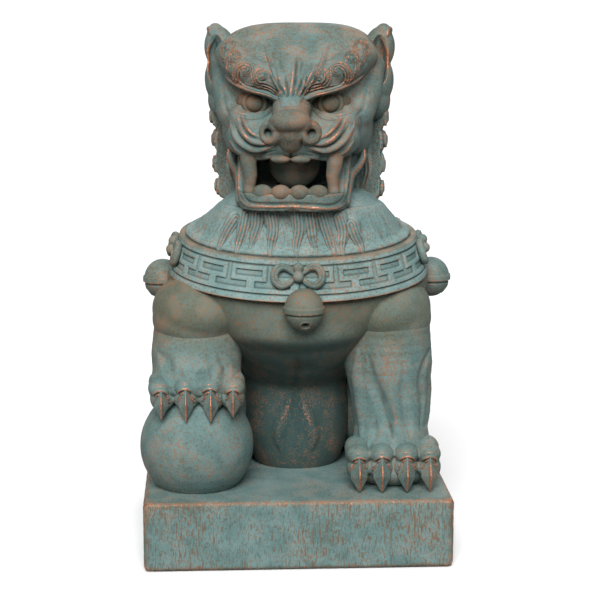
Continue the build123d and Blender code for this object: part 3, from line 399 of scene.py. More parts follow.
# %% The clay
class Clay:
    """A piece whose points, in millimetres, can be pressed along lines."""

    def __init__(self, piece):
        self.piece = piece
        mesh = piece.data
        flat = np.empty(len(mesh.vertices) * 3, np.float32)
        mesh.vertices.foreach_get("co", flat)
        self.points = flat.reshape(-1, 3).astype(float) / MM
        ends = np.empty(len(mesh.edges) * 2, np.int32)
        mesh.edges.foreach_get("vertices", ends)
        self.edges = ends.reshape(-1, 2)
        self.degree = np.bincount(self.edges.ravel(), minlength=len(self.points))[:, None].clip(1)
        self.rise = np.zeros(len(self.points))
        self.wear = np.zeros(len(self.points))
        self.grime_and_shade = np.zeros(len(self.points))
        self.guard = np.ones(len(self.points))
        self.settle()

    def settle(self):
        """Writes the points to the mesh, and takes new normals and a new surface to aim at."""
        mesh = self.piece.data
        mesh.vertices.foreach_set("co", (self.points * MM).astype(np.float32).ravel())
        mesh.update()
        flat = np.empty(len(self.points) * 3, np.float32)
        mesh.vertices.foreach_get("normal", flat)
        self.normals = flat.reshape(-1, 3).astype(float)
        self.piece.update_tag()
        bpy.context.view_layer.update()
        self.surface = BVHTree.FromObject(self.piece, bpy.context.evaluated_depsgraph_get())

    def blur(self, values, rounds):
        """Each value becomes the mean of itself and its neighbours, some times over."""
        values = values.reshape(len(values), -1)
        a, b = self.edges.T
        for _ in range(rounds):
            near = np.column_stack([
                np.bincount(a, column[b], len(column)) + np.bincount(b, column[a], len(column))
                for column in values.T])
            values = 0.5 * values + 0.5 * near / self.degree
        return values

    def seen(self, pixels, step=1.0):
        """A path drawn on the photograph, laid on the surface."""
        found = []
        for x, y in smooth_path(pixels, step):
            hit = self.surface.ray_cast(Vector(eye_mm * MM), Vector(ray(x, y)))[0]
            if hit is not None:
                found.append(np.array(hit) / MM)
        return np.array(found)

    def laid(self, points, step=1.0):
        """A path in space, moved to the nearest points of the surface."""
        path = smooth_path(points, step)
        return np.array([np.array(self.surface.find_nearest(Vector(p * MM))[0]) / MM for p in path])

    def press(self, path, width, height, lines=0, worn=0.0, ends=(0.2, 0.2), dirty=0.0):
        """Raises or sinks a band along a path, as one round line or as a comb of lines."""
        path = np.asarray(path, float)
        if len(path) < 2:
            return
        inside = np.all((self.points > path.min(0) - width) & (self.points < path.max(0) + width), axis=1)
        index = np.nonzero(inside)[0]
        p, n = self.points[index], self.normals[index]
        best = np.full(len(index), 1e9)
        side = np.zeros(len(index))
        along = np.zeros(len(index))
        length = np.concatenate(((0,), np.cumsum(np.linalg.norm(np.diff(path, axis=0), axis=1))))
        for a, b, s0, s1 in zip(path, path[1:], length, length[1:]):
            run = b - a
            square = run @ run
            if square < 1e-9:
                continue
            share = np.clip((p - a) @ run / square, 0, 1)
            off = p - a - share[:, None] * run
            gap = np.sqrt((off * off).sum(1))
            near = gap < best
            best[near] = gap[near]
            along[near] = (s0 + (s1 - s0) * share[near]) / length[-1]
            side[near] = np.sign((np.cross(run, n[near]) * off[near]).sum(1))
        first, last = ends
        taper = 0.35
        opening = first + (1 - first) * along / taper
        closing = last + (1 - last) * (1 - along) / taper
        narrow = np.minimum(1, np.minimum(opening, closing))
        x = best / (width * narrow).clip(1e-6)
        inside = (x < 1).astype(float)
        hill = inside * (1 - x.clip(0, 1) ** 2) ** 2
        if lines:
            crest = 0.5 + 0.5 * np.cos(math.pi * lines * x * side)
            edge = inside * (1 - x.clip(0, 1) ** 6)
            self.rise[index] += height * narrow * edge * (crest - 0.4)
            self.wear[index] = np.maximum(self.wear[index], worn * edge * crest**5)
            self.grime_and_shade[index] = np.maximum(self.grime_and_shade[index], dirty * edge * (1 - crest) ** 2)
        else:
            self.rise[index] += height * narrow * hill
            self.wear[index] = np.maximum(self.wear[index], worn * hill**3)
            self.grime_and_shade[index] = np.maximum(self.grime_and_shade[index], dirty * hill)

    def carve(self, centre, radii, away):
        """Moves the points inside an ellipsoid to its far side, along a direction."""
        away = np.asarray(away, float) / np.linalg.norm(away)
        off = (self.points - centre) / radii
        push = away / radii
        a, b, c = push @ push, off @ push, (off * off).sum(1) - 1
        inside = c < 0
        reach = (-b + np.sqrt((b * b - a * c).clip(0))) / a
        self.points[inside] += reach[inside, None] * away

    def clear(self, centre, radius):
        """Pushes points out of a sphere, so that a ball has room."""
        off = self.points - centre
        gap = np.linalg.norm(off, axis=1)
        inside = gap < radius
        self.points[inside] = centre + off[inside] * (radius / gap[inside].clip(1e-6))[:, None]

    def done(self, fine=(0.03, 0.16), broad=(0.3, 1.5), floor=(0.04, 0.3)):
        """Bakes the lines into the form, and works out where it is rubbed and where it is darkened, by
        patina and by painted shade in the hollows.
        """
        self.points = self.points + self.normals * self.rise[:, None]
        self.rise[:] = 0
        self.settle()
        small = ((self.points - self.blur(self.points, 3)) * self.normals).sum(1)
        wide = ((self.points - self.blur(self.points, 24)) * self.normals).sum(1)
        swell = self.blur(ramp(wide, *broad), 2)
        rubbed = (0.5 * ramp(small, *fine) + 0.1 * swell.ravel()) * self.guard
        # Small and broad hollows get the dark wash: the patina kept there, and painted shade where light is
        # blocked.
        sunk = 0.8 * ramp(-small, *floor) + 0.6 * ramp(-wide, *broad)
        wear = self.blur(np.clip(self.wear + rubbed, 0, 1), 1)
        grime_and_shade = self.blur(np.clip(self.grime_and_shade + sunk, 0, 1), 2)
        for name, values in (("wear", wear), ("grime_and_shade", grime_and_shade), ("swell", swell)):
            layer = self.piece.data.attributes.new(name, "FLOAT", "POINT")
            layer.data.foreach_set("value", values.ravel().astype(np.float32))
        return self.piece


def keep(piece, nodes, finish, body="statue"):
    """Gives a finished piece its body and its finish, and hides the imported solids it replaces."""
    bpy.ops.object.select_all(action="DESELECT")
    piece.select_set(True)
    bpy.context.view_layer.objects.active = piece
    bpy.ops.object.shade_smooth()
    piece.data.materials.clear()
    piece.data.materials.append(finish)
    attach(piece, body)
    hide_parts(*nodes)
    triangles = sum(len(p.vertices) - 2 for p in piece.data.polygons)
    print(piece.name, "replaces", nodes, "with", triangles, "triangles")


# %% [markdown]
# ## The plinth
# The lion sits on a plain block whose faces were combed upright with a stiff tool. A cube with bevelled
# edges is all the form it has, so it is cut finely enough for its edges to show wear, and the marks are
# left to its finish.

# %% Model the plinth
bpy.ops.object.select_all(action="DESELECT")
bpy.ops.mesh.primitive_cube_add(size=1, location=(0, 0, 0.0275))
block = bpy.context.object
block.scale = (0.240, 0.220, 0.055)
plinth = join("plinth_block", [block])
bpy.ops.object.mode_set(mode="EDIT")
bpy.ops.mesh.select_all(action="SELECT")
bpy.ops.mesh.bevel(offset=0.0025, segments=2, affect="EDGES")
bpy.ops.object.mode_set(mode="OBJECT")
apply(plinth, "REMESH", mode="VOXEL", voxel_size=2.0 * MM)
apply(plinth, "SMOOTH", factor=0.5, iterations=4)
plinth_clay = Clay(plinth)
x, y, z = plinth_clay.points.T
outer = ((np.abs(x) > 117) | (np.abs(y) > 107)) & (z > 3) & (z < 52)
wave = np.sin(x * 2.3 + np.sin(z * 0.21 + x * 0.05) * 2) * np.sin(y * 2.1 + x * 0.9)
wave = wave + 0.4 * np.sin(x * 0.31 + y * 0.27)
plinth_clay.rise = np.where(outer, 0.18 * wave - 0.15, 0.0)
top_edge = ramp(z, 52.5, 54.2) * ramp(np.maximum(np.abs(x) - 10, np.abs(y)), 107.5, 109)
plinth_clay.wear = 0.45 * top_edge
keep(plinth_clay.done(fine=(0.12, 0.4)), ["plinth"], plinth_finish)

# %% [markdown]
# ## Body, shoulders and legs
# The body is one broad form, and the chest, shoulders and legs are swells on it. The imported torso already
# has the right trunk, so a merged copy of it is one of the lumps, and the swell of the chest and the belly
# are added to it. The hollow under the chest is then carved back. The pieces run into each other, so the
# creases between them come by themselves.

# %% Model the torso
torso = cast("torso_cast", [
    copy_of("torso"),
    *limb([((2, -40, 200), (70, 51, 34)), ((2, -42, 183), (64, 48, 25))], 3),
    lump((4, 22, 196), (72, 44, 44)),
    lump((4, 52, 120), (58, 42, 62), (-12, 0, 0)),
    lump((4, 34, 84), (30, 30, 40)),
    lump((4, 11, 96), (45, 38, 62)),
], 1.8, 12)
torso_clay = Clay(torso)
torso_clay.carve((4, -82, 100), np.array((54, 50, 58.0)), (0, 1, 0))
torso_clay.settle()
torso_clay.points = torso_clay.blur(torso_clay.points, 16)
torso_clay.settle()
torso_clay.press(torso_clay.laid([(4, 70, 226), (4, 88, 180), (4, 96, 130), (4, 98, 90)], 3), 16, -3.0)
midline = [(297, 352), (297, 372), (296, 392), (296, 412), (297, 436), (297, 452)]
torso_clay.press(torso_clay.seen(midline, 3), 7, -1.6)
for s in (1, -1):
    fold = [(296 + s * 4, 396), (296 + s * 12, 416), (296 + s * 18, 436), (296 + s * 14, 452)]
    torso_clay.press(torso_clay.seen(fold, 3), 7, 2.4)
# Painted shade: dark where the torso faces down under the chest, and low on its front between the forelegs.
belly = (1 - ramp(torso_clay.points[:, 2], 118, 162)) * (1 - ramp(torso_clay.points[:, 1], -10, 15))
torso_clay.grime_and_shade = np.maximum(0.6 * ramp(-torso_clay.normals[:, 2], 0.2, 0.8), 0.7 * belly)
keep(torso_clay.done(fine=(0.05, 0.25), broad=(0.6, 2.5)), ["torso"], body_finish)

# %% Model the shoulders
for side, s in (("left", 1), ("right", -1)):
    shoulder = cast(side + "_shoulder_cast", [
        lump((s * 74 - 2, -36, 193), (37, 43, 29), (0, 0, s * -10)),
        lump((s * 75 - 2, -40, 186), (36, 35, 26), (6, 0, s * -8)),
        lump((s * 71 - 1, -8, 196), (36, 40, 27)),
    ], 1.5, 12)
    clay = Clay(shoulder)
    keep(clay.done(fine=(0.05, 0.25), broad=(0.5, 2.0)), [side + "_shoulder"], body_finish)

# %% Model the forelegs
plinth_top = 55.0
standing = cast("left_foreleg_cast", limb([
    ((73, -42, 178), (35, 33, 20)), ((74.5, -43, 150), (35.5, 32, 26)), ((76, -46, 124), (31.5, 27, 22)),
    ((76.5, -50, 100), (29, 25, 20)), ((76.5, -54, 82), (32, 27, 18)), ((76.5, -55, 68), (34, 28, 16)),
]) + [lump((76, -12, 150), (24, 16, 34))], 1.1, 10)
clay = Clay(standing)
clay.clear((76, -40, 30), 25)
clay.points[:, 2] = clay.points[:, 2].clip(plinth_top, None)
clay.settle()
tendons = (
    ([(369, 356), (371, 370), (375, 388), (383, 405), (389, 419), (393, 438)], 7, -2.6, (0.3, 0.4), 0.2),
    ([(357, 352), (356, 380), (360, 410), (361, 436)], 9, 2.2, (0.4, 0.4), 0.0),
    ([(386, 352), (385, 372), (392, 398), (397, 424), (404, 444)], 8, 2.0, (0.5, 0.4), 0.0),
    ([(403, 362), (404, 390), (408, 420), (411, 440)], 6, -1.6, (0.2, 0.4), 0.0),
    ([(432, 346), (425, 362), (421, 380), (422, 404), (420, 430)], 6, -1.8, (0.4, 0.2), 0.2),
    ([(430, 372), (429, 400), (426, 430)], 6, 1.8, (0.3, 0.3), 0.0),
    ([(376, 420), (374, 434), (372, 446)], 5, -1.8, (0.2, 0.8), 0.0),
)
for line, width, height, ends, dirty in tendons:
    clay.press(clay.seen(line, 2), width, height, ends=ends, dirty=dirty)
keep(clay.done(fine=(0.05, 0.2)), ["left_foreleg"], body_finish)

paw_ball_mid, paw_ball_r = np.array((-78.5, -54.0, 87.0)), 45.0
raised = cast("right_foreleg_cast", limb([
    ((-76, -40, 178), (36, 31, 20)), ((-78, -46, 160), (36, 33, 20)), ((-78, -54, 148), (35, 32, 16)),
    ((-78, -62, 141), (36, 27, 12)), ((-78, -68, 138), (37, 20, 10)),
]) + [lump((-76, -14, 158), (24, 18, 28))], 1.1, 10)
clay = Clay(raised)
clay.clear(paw_ball_mid, paw_ball_r + 0.2)
clay.settle()
for x in (179, 203, 226):
    clay.press(clay.seen([(x, 366), (x - 1, 378), (x - 1, 390)], 2), 6, -1.8, ends=(0.1, 0.8))
clay.press(clay.seen([(158, 352), (168, 366), (172, 384)], 2), 8, -2.4)
clay.press(clay.seen([(190, 350), (200, 362), (207, 380)], 2), 10, 2.2)
clay.press(clay.seen([(217, 352), (225, 364), (231, 378)], 2), 7, -1.8)
keep(clay.done(fine=(0.05, 0.2)), ["right_foreleg"], body_finish)


# %% [markdown]
# ## Toes and claws
# Each toe is a knuckle over a pad, with two raised rings above the claw. A claw is a wedge with a copper
# ridge, so it starts as a four-sided kite with one corner in front. The casting rounds it, and the ridge is
# then pressed out again along a line.

# %% Model the toes and claws
bpy.ops.object.select_all(action="DESELECT")
bpy.ops.mesh.primitive_uv_sphere_add(segments=4, ring_count=2, radius=1)
claw_kite = bpy.context.object
for corner in claw_kite.data.vertices:
    corner.co.z *= 0.45 if corner.co.z > 0 else 1.0


def claw(knuckle, tip, wide):
    """A claw: a long kite with a ridge down its front, from under the knuckle to its tip."""
    down = tip - knuckle
    middle = knuckle + down * 0.24 + (0, -0.5, 0)
    long = np.linalg.norm(tip - middle)
    made = claw_kite.copy()
    made.data = claw_kite.data.copy()
    made.location = middle * MM
    made.rotation_euler = (math.atan2(middle[1] - tip[1], middle[2] - tip[2]) * -1, 0, 0)
    made.scale = np.array((wide, 11.5, long * 1.08)) * MM
    bpy.context.scene.collection.objects.link(made)
    return made


def toe_row(side, feet):
    """Four toes and four claws: each foot is its knuckle and the tip of its claw."""
    toes, claws = [], []
    for knuckle, tip in feet:
        knuckle, tip = np.array(knuckle, float), np.array(tip, float)
        down = tip - knuckle
        toes += [lump(knuckle + (0, 5, -2), (10.0, 16, 9.5)), lump(knuckle + (0, -1, -1), (9.6, 10, 8.2)),
                 lump(knuckle + (0, 13, 1), (9.8, 16, 9)),
                 lump(knuckle + down * 0.45 + (0, 5, 1), (9.6, 9.5, 10))]
        claws.append(claw(knuckle, tip, 8.2 if side == "left" else 6.8))
    toes = cast(side + "_fore_toes_cast", toes, 0.8, 9)
    claws = cast(side + "_claws_cast", claws, 0.65, 7)
    return Clay(toes), Clay(claws)


standing_feet = [((48.0, -77, 84), (48.5, -89, 56)), ((66.0, -79, 85), (65.0, -91, 56)),
                 ((85.5, -79, 85), (84.5, -91, 56)), ((103.5, -77, 84), (104.0, -89, 56))]
raised_feet = [((-106.0, -76, 139), (-103.5, -88, 116.5)), ((-87.0, -79, 141), (-85.0, -92, 115.5)),
               ((-68.0, -79, 141), (-65.5, -92, 114.5)), ((-50.0, -76, 139), (-50.5, -88, 117.5))]
toe_rings = ((1.0, 1.1, 0.75, 0), (3.0, -1.0, 0, 0.6), (4.8, 1.3, 0.9, 0), (6.8, -1.2, 0, 0.7))
ring_steps = (-9.5, -7, -4.5, -2, 0, 2, 4.5, 7, 9.5)
for side, feet in (("left", standing_feet), ("right", raised_feet)):
    toes, claws = toe_row(side, feet)
    for clay in (toes, claws):
        if side == "left":
            clay.points[:, 2] = clay.points[:, 2].clip(plinth_top + 0.2, None)
        else:
            clay.clear(paw_ball_mid, paw_ball_r + 0.3)
        clay.settle()
    for knuckle, tip in feet:
        knuckle, tip = np.array(knuckle, float), np.array(tip, float)
        for drop, height, worn, dirty in toe_rings:
            arch = [knuckle + (dx, -14 + abs(dx) * 0.4, -drop - dx * dx * 0.085) for dx in ring_steps]
            toes.press(toes.laid(arch, 0.7), 1.4, height, worn=worn, dirty=dirty, ends=(0.5, 0.5))
        for lift in (2.0, 4.2, 6.4):
            arch = [knuckle + (dx, -10 + abs(dx) * 0.3, lift - dx * dx * 0.05) for dx in (-6, -3, 0, 3, 6)]
            toes.press(toes.laid(arch, 0.8), 1.0, 0.35, worn=0.4, ends=(0.2, 0.2))
        ridge = [knuckle + (tip - knuckle) * t + (0, -11, 0) for t in (0.25, 0.45, 0.7)]
        ridge.append(tip + (0, -3, 0))
        claws.press(claws.laid(ridge, 0.7), 1.9, 0.7, worn=1.0, ends=(0.6, 0.8))
    keep(toes.done(), [side + "_fore_toes"], body_finish)
    keep(claws.done(fine=(0.08, 0.3), broad=(1, 4)), [side + "_claws"], body_finish)
bpy.data.objects.remove(claw_kite)

# %% [markdown]
# ## The ball under the paw
# The ball is a plain sphere, flattened where it meets the plinth. It is modelled from a sphere with a
# slightly uneven skin, because a cast that was rubbed by hand is never a perfect ball.

# %% Model the ball
ball = cast("paw_ball_cast", [lump(paw_ball_mid, (paw_ball_r, paw_ball_r, paw_ball_r))], 1.6, 3)
clay = Clay(ball)
clay.points[:, 2] = clay.points[:, 2].clip(plinth_top, None)
clay.settle()
away = clay.points - paw_ball_mid
clay.rise = 0.12 * np.sin(away @ (0.21, 0.13, 0.17)) * np.sin(away @ (0.09, -0.23, 0.12))
keep(clay.done(fine=(0.1, 0.4), broad=(0.9, 3)), ["paw_ball"], ball_finish)

# %% [markdown]
# ## Hind legs and tail
# The photograph hides these, so they follow what a seated lion of this kind has: round haunches, a hind paw
# beside each, and a plume of a tail laid on the back. The plume starts from a merged copy of the packed
# tail, with locks laid on it, a comb of lines along each lock and a curl on each side.

# %% Model the haunches
for side, s in (("left", 1), ("right", -1)):
    haunch = cast(side + "_haunch_cast", [
        lump((4 + s * 62, 48, 104), (43, 47, 54), (-24, 0, 0)),
        lump((4 + s * 66, 22, 96), (34, 32, 36)),
        lump((4 + s * 60, 66, 82), (40, 30, 28)),
        lump((4 + s * 74, 14, 70), (24, 30, 18)),
    ], 1.6, 12)
    clay = Clay(haunch)
    clay.points[:, 2] = clay.points[:, 2].clip(plinth_top, None)
    clay.settle()
    x = 4 + s * 120
    clay.press(clay.laid([(x, 0, 118), (x, 14, 92), (x, 34, 76), (x, 60, 70)], 3), 9, -3.2, dirty=0.3)
    clay.press(clay.laid([(x, -4, 84), (x, 10, 76), (x, 26, 68)], 3), 6, -2.0, dirty=0.3)
    keep(clay.done(fine=(0.05, 0.25), broad=(0.5, 2.5)), [side + "_haunch"], body_finish)

# %% Model the hind paws
for side, s in (("left", 1), ("right", -1)):
    middle = 4 + s * 82
    lumps = [lump((middle, 24, 66), (22, 26, 14)), lump((middle, 36, 68), (21, 24, 16))]
    steps = [middle + k * 13.0 for k in (-1.2, -0.4, 0.4, 1.2)]
    for x in steps:
        lumps += [lump((x, 4, 66), (6.6, 12, 9.5)), lump((x, 12, 68), (6.2, 14, 10))]
        nail = [((x, -4, 66), (4.2, 5, 4)), ((x, -8, 60), (3, 4, 3)), ((x, -10, 57), (1.5, 2, 1.6))]
        lumps += limb(nail)
    clay = Clay(cast(side + "_hind_paw_cast", lumps, 0.9, 6))
    clay.points[:, 2] = clay.points[:, 2].clip(plinth_top, None)
    clay.settle()
    for x in steps:
        for drop in (0, 3):
            arch = [(x + dx, -9 + drop * 0.2, 74 - drop - abs(dx) * 0.6) for dx in (-6, -3, 0, 3, 6)]
            clay.press(clay.laid(arch, 0.8), 1.4, 0.8, worn=0.9, ends=(0.4, 0.4))
        clay.press(clay.laid([(x, -12, 67), (x, -13, 62), (x, -13, 57)], 0.8), 2.2, 0.9, worn=0.9)
    keep(clay.done(), [side + "_hind_paw"], body_finish)


# %% Model the tail
def on_tail(x, z, out=0.0):
    """A place on the plume, which leans on the back as it rises."""
    return np.array((x, np.interp(z, (55, 90, 140, 184, 214), (97, 97, 84, 78, 71)) + out, z))


locks = [[on_tail(x, z) for x, z in lock] for lock in (
    ((4, 58), (4, 90), (4, 130), (4, 170), (4, 212)),
    ((-6, 66), (-13, 98), (-14, 130), (-8, 160), (-3, 184)),
    ((14, 66), (21, 98), (22, 130), (16, 160), (11, 184)),
    ((-6, 62), (-17, 82), (-24, 106), (-24, 132), (-18, 154)),
    ((14, 62), (25, 82), (32, 106), (32, 132), (26, 154)),
)]
lumps = [copy_of("tail")]
for lock in locks:
    path = smooth_path(lock, 2.5)
    for share, point in zip(np.linspace(0, 1, len(path)), path):
        girth = (6.5 + 6 * math.sin(math.pi * min(1, share * 1.25) ** 0.8)) * (1 - 0.68 * share**4)
        lumps.append(lump(point, (girth, girth * 0.9, girth)))
tail_curls = [on_tail(4 + s * 22, 159, 1.5) for s in (1, -1)]
for middle in tail_curls:
    lumps.append(lump(middle, (12.5, 12, 12.5)))
clay = Clay(cast("tail_cast", lumps, 1.0, 6))
for lock in locks:
    path = clay.laid([p + (0, 14, 0) for p in lock], 2)
    clay.press(path, 9, 1.7, lines=5, worn=0.4, ends=(0.5, 0.1), dirty=0.5)
for middle, s in zip(tail_curls, (1, -1)):
    turns = np.linspace(0.1, 1.5, 24)
    for start, height, dirty in ((1.4, 1.4, 0.0), (4.1, -1.2, 0.6)):
        wind = []
        for swing, reach in zip(2 * math.pi * turns, start + 5.4 * turns):
            wind.append(middle + (-s * math.cos(swing) * reach, 13, math.sin(swing) * reach))
        clay.press(clay.laid(wind, 1.2), 1.8, height, worn=0.3 if height > 0 else 0, dirty=dirty,
                   ends=(0.8, 0.3))
clay.points[:, 2] = clay.points[:, 2].clip(plinth_top, None)
keep(clay.done(), ["tail"], body_finish)

# %% [markdown]
# ## The ruff of hair above the collar
# Long hair falls from under the jaw over the chest and is held by the collar. A cone with its own oval top
# and bottom gives the fall, and fine lines run down it all round. The lines start and stop at uneven
# heights, as combed hair does.


# %% Model the ruff
def ruff_ring(share):
    """Centre and half sizes of the ruff, from the collar at 0 to the jaw at 1."""
    low, high = np.array((4, -12, 238, 93, 70)), np.array((6, -19, 276, 65, 53))
    ring = low * (1 - share) + high * share
    return ring[:3], ring[3], ring[4]


ruff = Clay(cast("neck_ruff_cast", [
    copy_of("neck_ruff"),
    lump((6, -12, 274), (63, 54, 17)),
    lump((6, -12, 262), (74, 60, 20)),
    lump((4, -14, 252.5), (91, 67, 9), (9.7, 0, 0)),
], 1.1, 12))
rng = np.random.default_rng(11)
hairs = 150
for k in range(hairs):
    angle = 2 * math.pi * (k + rng.uniform(-0.3, 0.3)) / hairs
    top, bottom = rng.uniform(0.7, 1.0), rng.uniform(0.0, 0.35)
    sway = rng.uniform(-0.05, 0.05)
    hair = []
    for share in np.linspace(top, bottom, 6):
        centre, half_w, half_d = ruff_ring(share)
        bend = angle + sway * math.sin(3 * share) + 0.04 * math.sin(5 * share + k)
        hair.append(centre + (1.05 * half_w * math.cos(bend), 1.05 * half_d * math.sin(bend), 0))
    path = ruff.laid(hair, 2.5)
    if k % 3 == 0:
        ruff.press(path, 3.6, 0.8, lines=3, worn=0.2, ends=(0.3, 0.1), dirty=0.06)
    else:
        ruff.press(path, 1.8, 0.4, worn=0.05, ends=(0.3, 0.1))
keep(ruff.done(floor=(0.08, 0.5)), ["neck_ruff"], hair_finish)

# %% [markdown]
# ## Beard locks
# Under the jaw the hair is gathered into separate locks that end in points on the ruff. Each is a row of
# lumps that gets thinner, laid where the photograph shows it, with a comb of lines along it.

# %% Model the beard
beard_px = [
    [(236, 219), (228, 232), (222, 244), (215.5, 255.5)], [(247, 214), (244, 230), (239, 246), (235, 259)],
    [(272, 214), (274, 230), (271, 246), (269.6, 260)], [(297.6, 213), (299, 230), (296, 246), (297, 260)],
    [(321.6, 215), (326, 230), (331, 246), (336, 257.5)], [(338, 216), (342, 232), (341, 246), (344, 258)],
    [(351, 224), (355, 236), (360, 246), (363.5, 254.5)], [(259, 214), (258, 226), (254, 238), (250, 249)],
    [(309, 213), (311, 226), (313, 240), (317, 252)],
]
lumps = []
for lock in beard_px:
    path = ruff.seen(lock, 3)
    for share, point in zip(np.linspace(0, 1, len(path)), path):
        girth = 6.4 * (1 - share) + 1.6
        lumps.append(lump(point + (0, 0.4 * girth, -0.1 * girth), (girth, girth * 0.9, girth)))
beard = Clay(cast("beard_cast", lumps, 0.8, 6))
for lock in beard_px:
    beard.press(beard.seen(lock, 2), 7.0, 1.0, lines=5, worn=0.35, ends=(0.9, 0.25), dirty=0.35)
keep(beard.done(), ["beard"], hair_finish)

# %% [markdown]
# ## The collar and its key pattern
# A leather-like band lies round the neck, with a rim along each edge and an angular key pattern between
# them. It starts as a fine grid: one side of the grid runs round the neck, and the other goes up the face
# of the band, over its edge and down its inside, until Weld closes it. The pattern is then raised as a
# height, so its corners stay sharp.

# %% Bend a strip round the neck
tilt = math.radians(9.7)
collar_mid = np.array((4.0, -18.0, 221.0))
collar_axes = np.array(((1, 0, 0), (0, math.cos(tilt), math.sin(tilt)),
                        (0, -math.sin(tilt), math.cos(tilt))))
collar_tall, collar_thick, collar_shift = 29.0, 5.5, 9.0
around, across = 1152, 76
bpy.ops.object.select_all(action="DESELECT")
bpy.ops.mesh.primitive_grid_add(x_subdivisions=around, y_subdivisions=across, size=1)
collar = join("collar_cast", [bpy.context.object])


def collar_half(height):
    """Half the width and half the depth of the collar, at a height from 0 at its lower edge to 1."""
    return 102.5 - 9.5 * height, 79.0 - 10.0 * height


def collar_point(angle, height, proud):
    """A point on the collar: height runs from 0 at its lower edge to 1, proud is how far it stands out."""
    half_w, half_d = collar_half(height)
    x = (half_w + proud) * np.cos(angle)
    y = (half_d + proud) * np.sin(angle) + collar_shift * height
    local = np.stack((x, y, collar_tall * height), -1)
    return collar_mid + local @ collar_axes


def key_height(run, height):
    """How much of the key pattern covers a place: run counts units along the collar, height is 0 to 1."""
    unit = run - np.floor(run)
    cover = np.zeros_like(unit)
    top, mid, low, half = 0.76, 0.5, 0.24, 0.052 * collar_tall
    unit_long = 32.0
    bars = ((0.0, top, 0.77, top), (0.76, top, 0.76, mid), (0.36, mid, 0.76, mid), (0.36, mid, 0.36, low),
            (0.36, low, 1.27, low), (1.27, low, 1.27, mid), (1.0, mid, 1.27, mid), (1.0, mid, 1.0, top))
    for shift in (-1, 0, 1):
        for x0, y0, x1, y1 in bars:
            dx = np.maximum(np.abs(unit + shift - (x0 + x1) / 2) - abs(x1 - x0) / 2, 0) * unit_long
            dy = np.maximum(np.abs(height - (y0 + y1) / 2) - abs(y1 - y0) / 2, 0) * collar_tall
            gap = np.maximum(dx, dy)
            cover = np.maximum(cover, 1 - ramp(gap, half - 0.3, half + 0.45))
    return cover


strip = Clay(collar)
angle = 2 * math.pi * (strip.points[:, 0] * MM + 0.5)
place = (strip.points[:, 1] * MM + 0.5) * across
on_face = (place >= 2) & (place <= 58)
height = np.where(on_face, (place - 2) / 56, np.clip(1 - (place - 60) / 15, 0, 1))
height = np.where(place < 2, 0.0, height)
strip.points = collar_point(angle, height, np.where(on_face, 0.0, -collar_thick))
strip.settle()
apply(collar, "WELD", merge_threshold=0.02 * MM)
bpy.ops.object.mode_set(mode="EDIT")
bpy.ops.mesh.select_all(action="SELECT")
bpy.ops.mesh.normals_make_consistent(inside=False)
bpy.ops.object.mode_set(mode="OBJECT")
clay = Clay(collar)
local = (clay.points - collar_mid) @ collar_axes.T
height = local[:, 2] / collar_tall
half_w, half_d = collar_half(height)
sideways = local[:, 0] / half_w
backward = (local[:, 1] - collar_shift * height) / half_d
angle = np.arctan2(backward, sideways)
on_face = np.hypot(sideways, backward) > 0.97
print("collar points", len(clay.points))
from_rim = np.minimum(np.abs(height - 0.075), np.abs(height - 0.925))
rim = 1 - ramp(from_rim, 0.055, 0.095)
side = np.abs((angle + math.pi / 2 + math.pi) % (2 * math.pi) - math.pi)
run = side / math.pi * 9
pattern = key_height(run + 0.12, height) * (np.abs(height - 0.5) < 0.36)
raised = np.where(on_face, 1.7 * rim + 1.7 * pattern, 0.0)
clay.points = collar_point(angle, height, np.where(on_face, raised, -collar_thick))
clay.settle()
clay.wear = np.where(on_face, np.maximum(0.12 * rim, 0.2 * pattern), 0.0)
clay.grime_and_shade = np.where(on_face, 0.3 * (1 - np.maximum(rim, pattern)), 0.3)
clay.guard = 1 - ramp(height, 0.95, 0.985)
keep(clay.done(fine=(0.09, 0.4), broad=(0.6, 2.0), floor=(0.04, 0.2)), ["collar"], hair_finish)

# %% [markdown]
# ## Bells and bows
# Three bells hang from the collar, one in front and one on each side, each under a ribbon bow. A bell is a
# sphere with a flat band round it and a round sound hole below. A bow is two ribbon loops and two knots.


# %% Model a bell
def bell(node, centre, out):
    """A bell at a place, whose hole faces down and outwards."""
    made = Clay(cast(node + "_cast", [lump(centre, (15.2, 15.2, 16.2))], 0.65, 2))
    off = made.points - centre
    level = off[:, 2]
    band = 1 - ramp(np.abs(level - 0.2), 2.1, 2.6)
    under = 1 - ramp(np.abs(level + 3.2), 0.4, 1.0)
    made.rise = 0.9 * band - 0.5 * under
    way = np.array(out, float) / np.linalg.norm(out)
    hole = 1 - ramp(np.linalg.norm(off - way * 15.5, axis=1), 2.4, 3.4)
    lip = 1 - ramp(np.abs(np.linalg.norm(off - way * 15.5, axis=1) - 3.9), 0.3, 0.9)
    made.rise += 0.35 * lip - 5.0 * hole
    # Dark wash in the sound hole and the groove under the band: patina kept there, and painted shade.
    made.grime_and_shade = np.maximum(hole, 0.6 * under)
    made.wear = 0.34 * band * (level < 0)
    keep(made.done(broad=(0.8, 2.5)), [node], body_finish)


bell("front_bell", np.array((4.0, -99.0, 203.0)), (0.03, -0.72, -0.7))
for side, s in (("left", 1), ("right", -1)):
    bell(side + "_bell", np.array((4.0 + s * 109, -4.0, 212.0)), (s * 0.75, -0.1, -0.65))


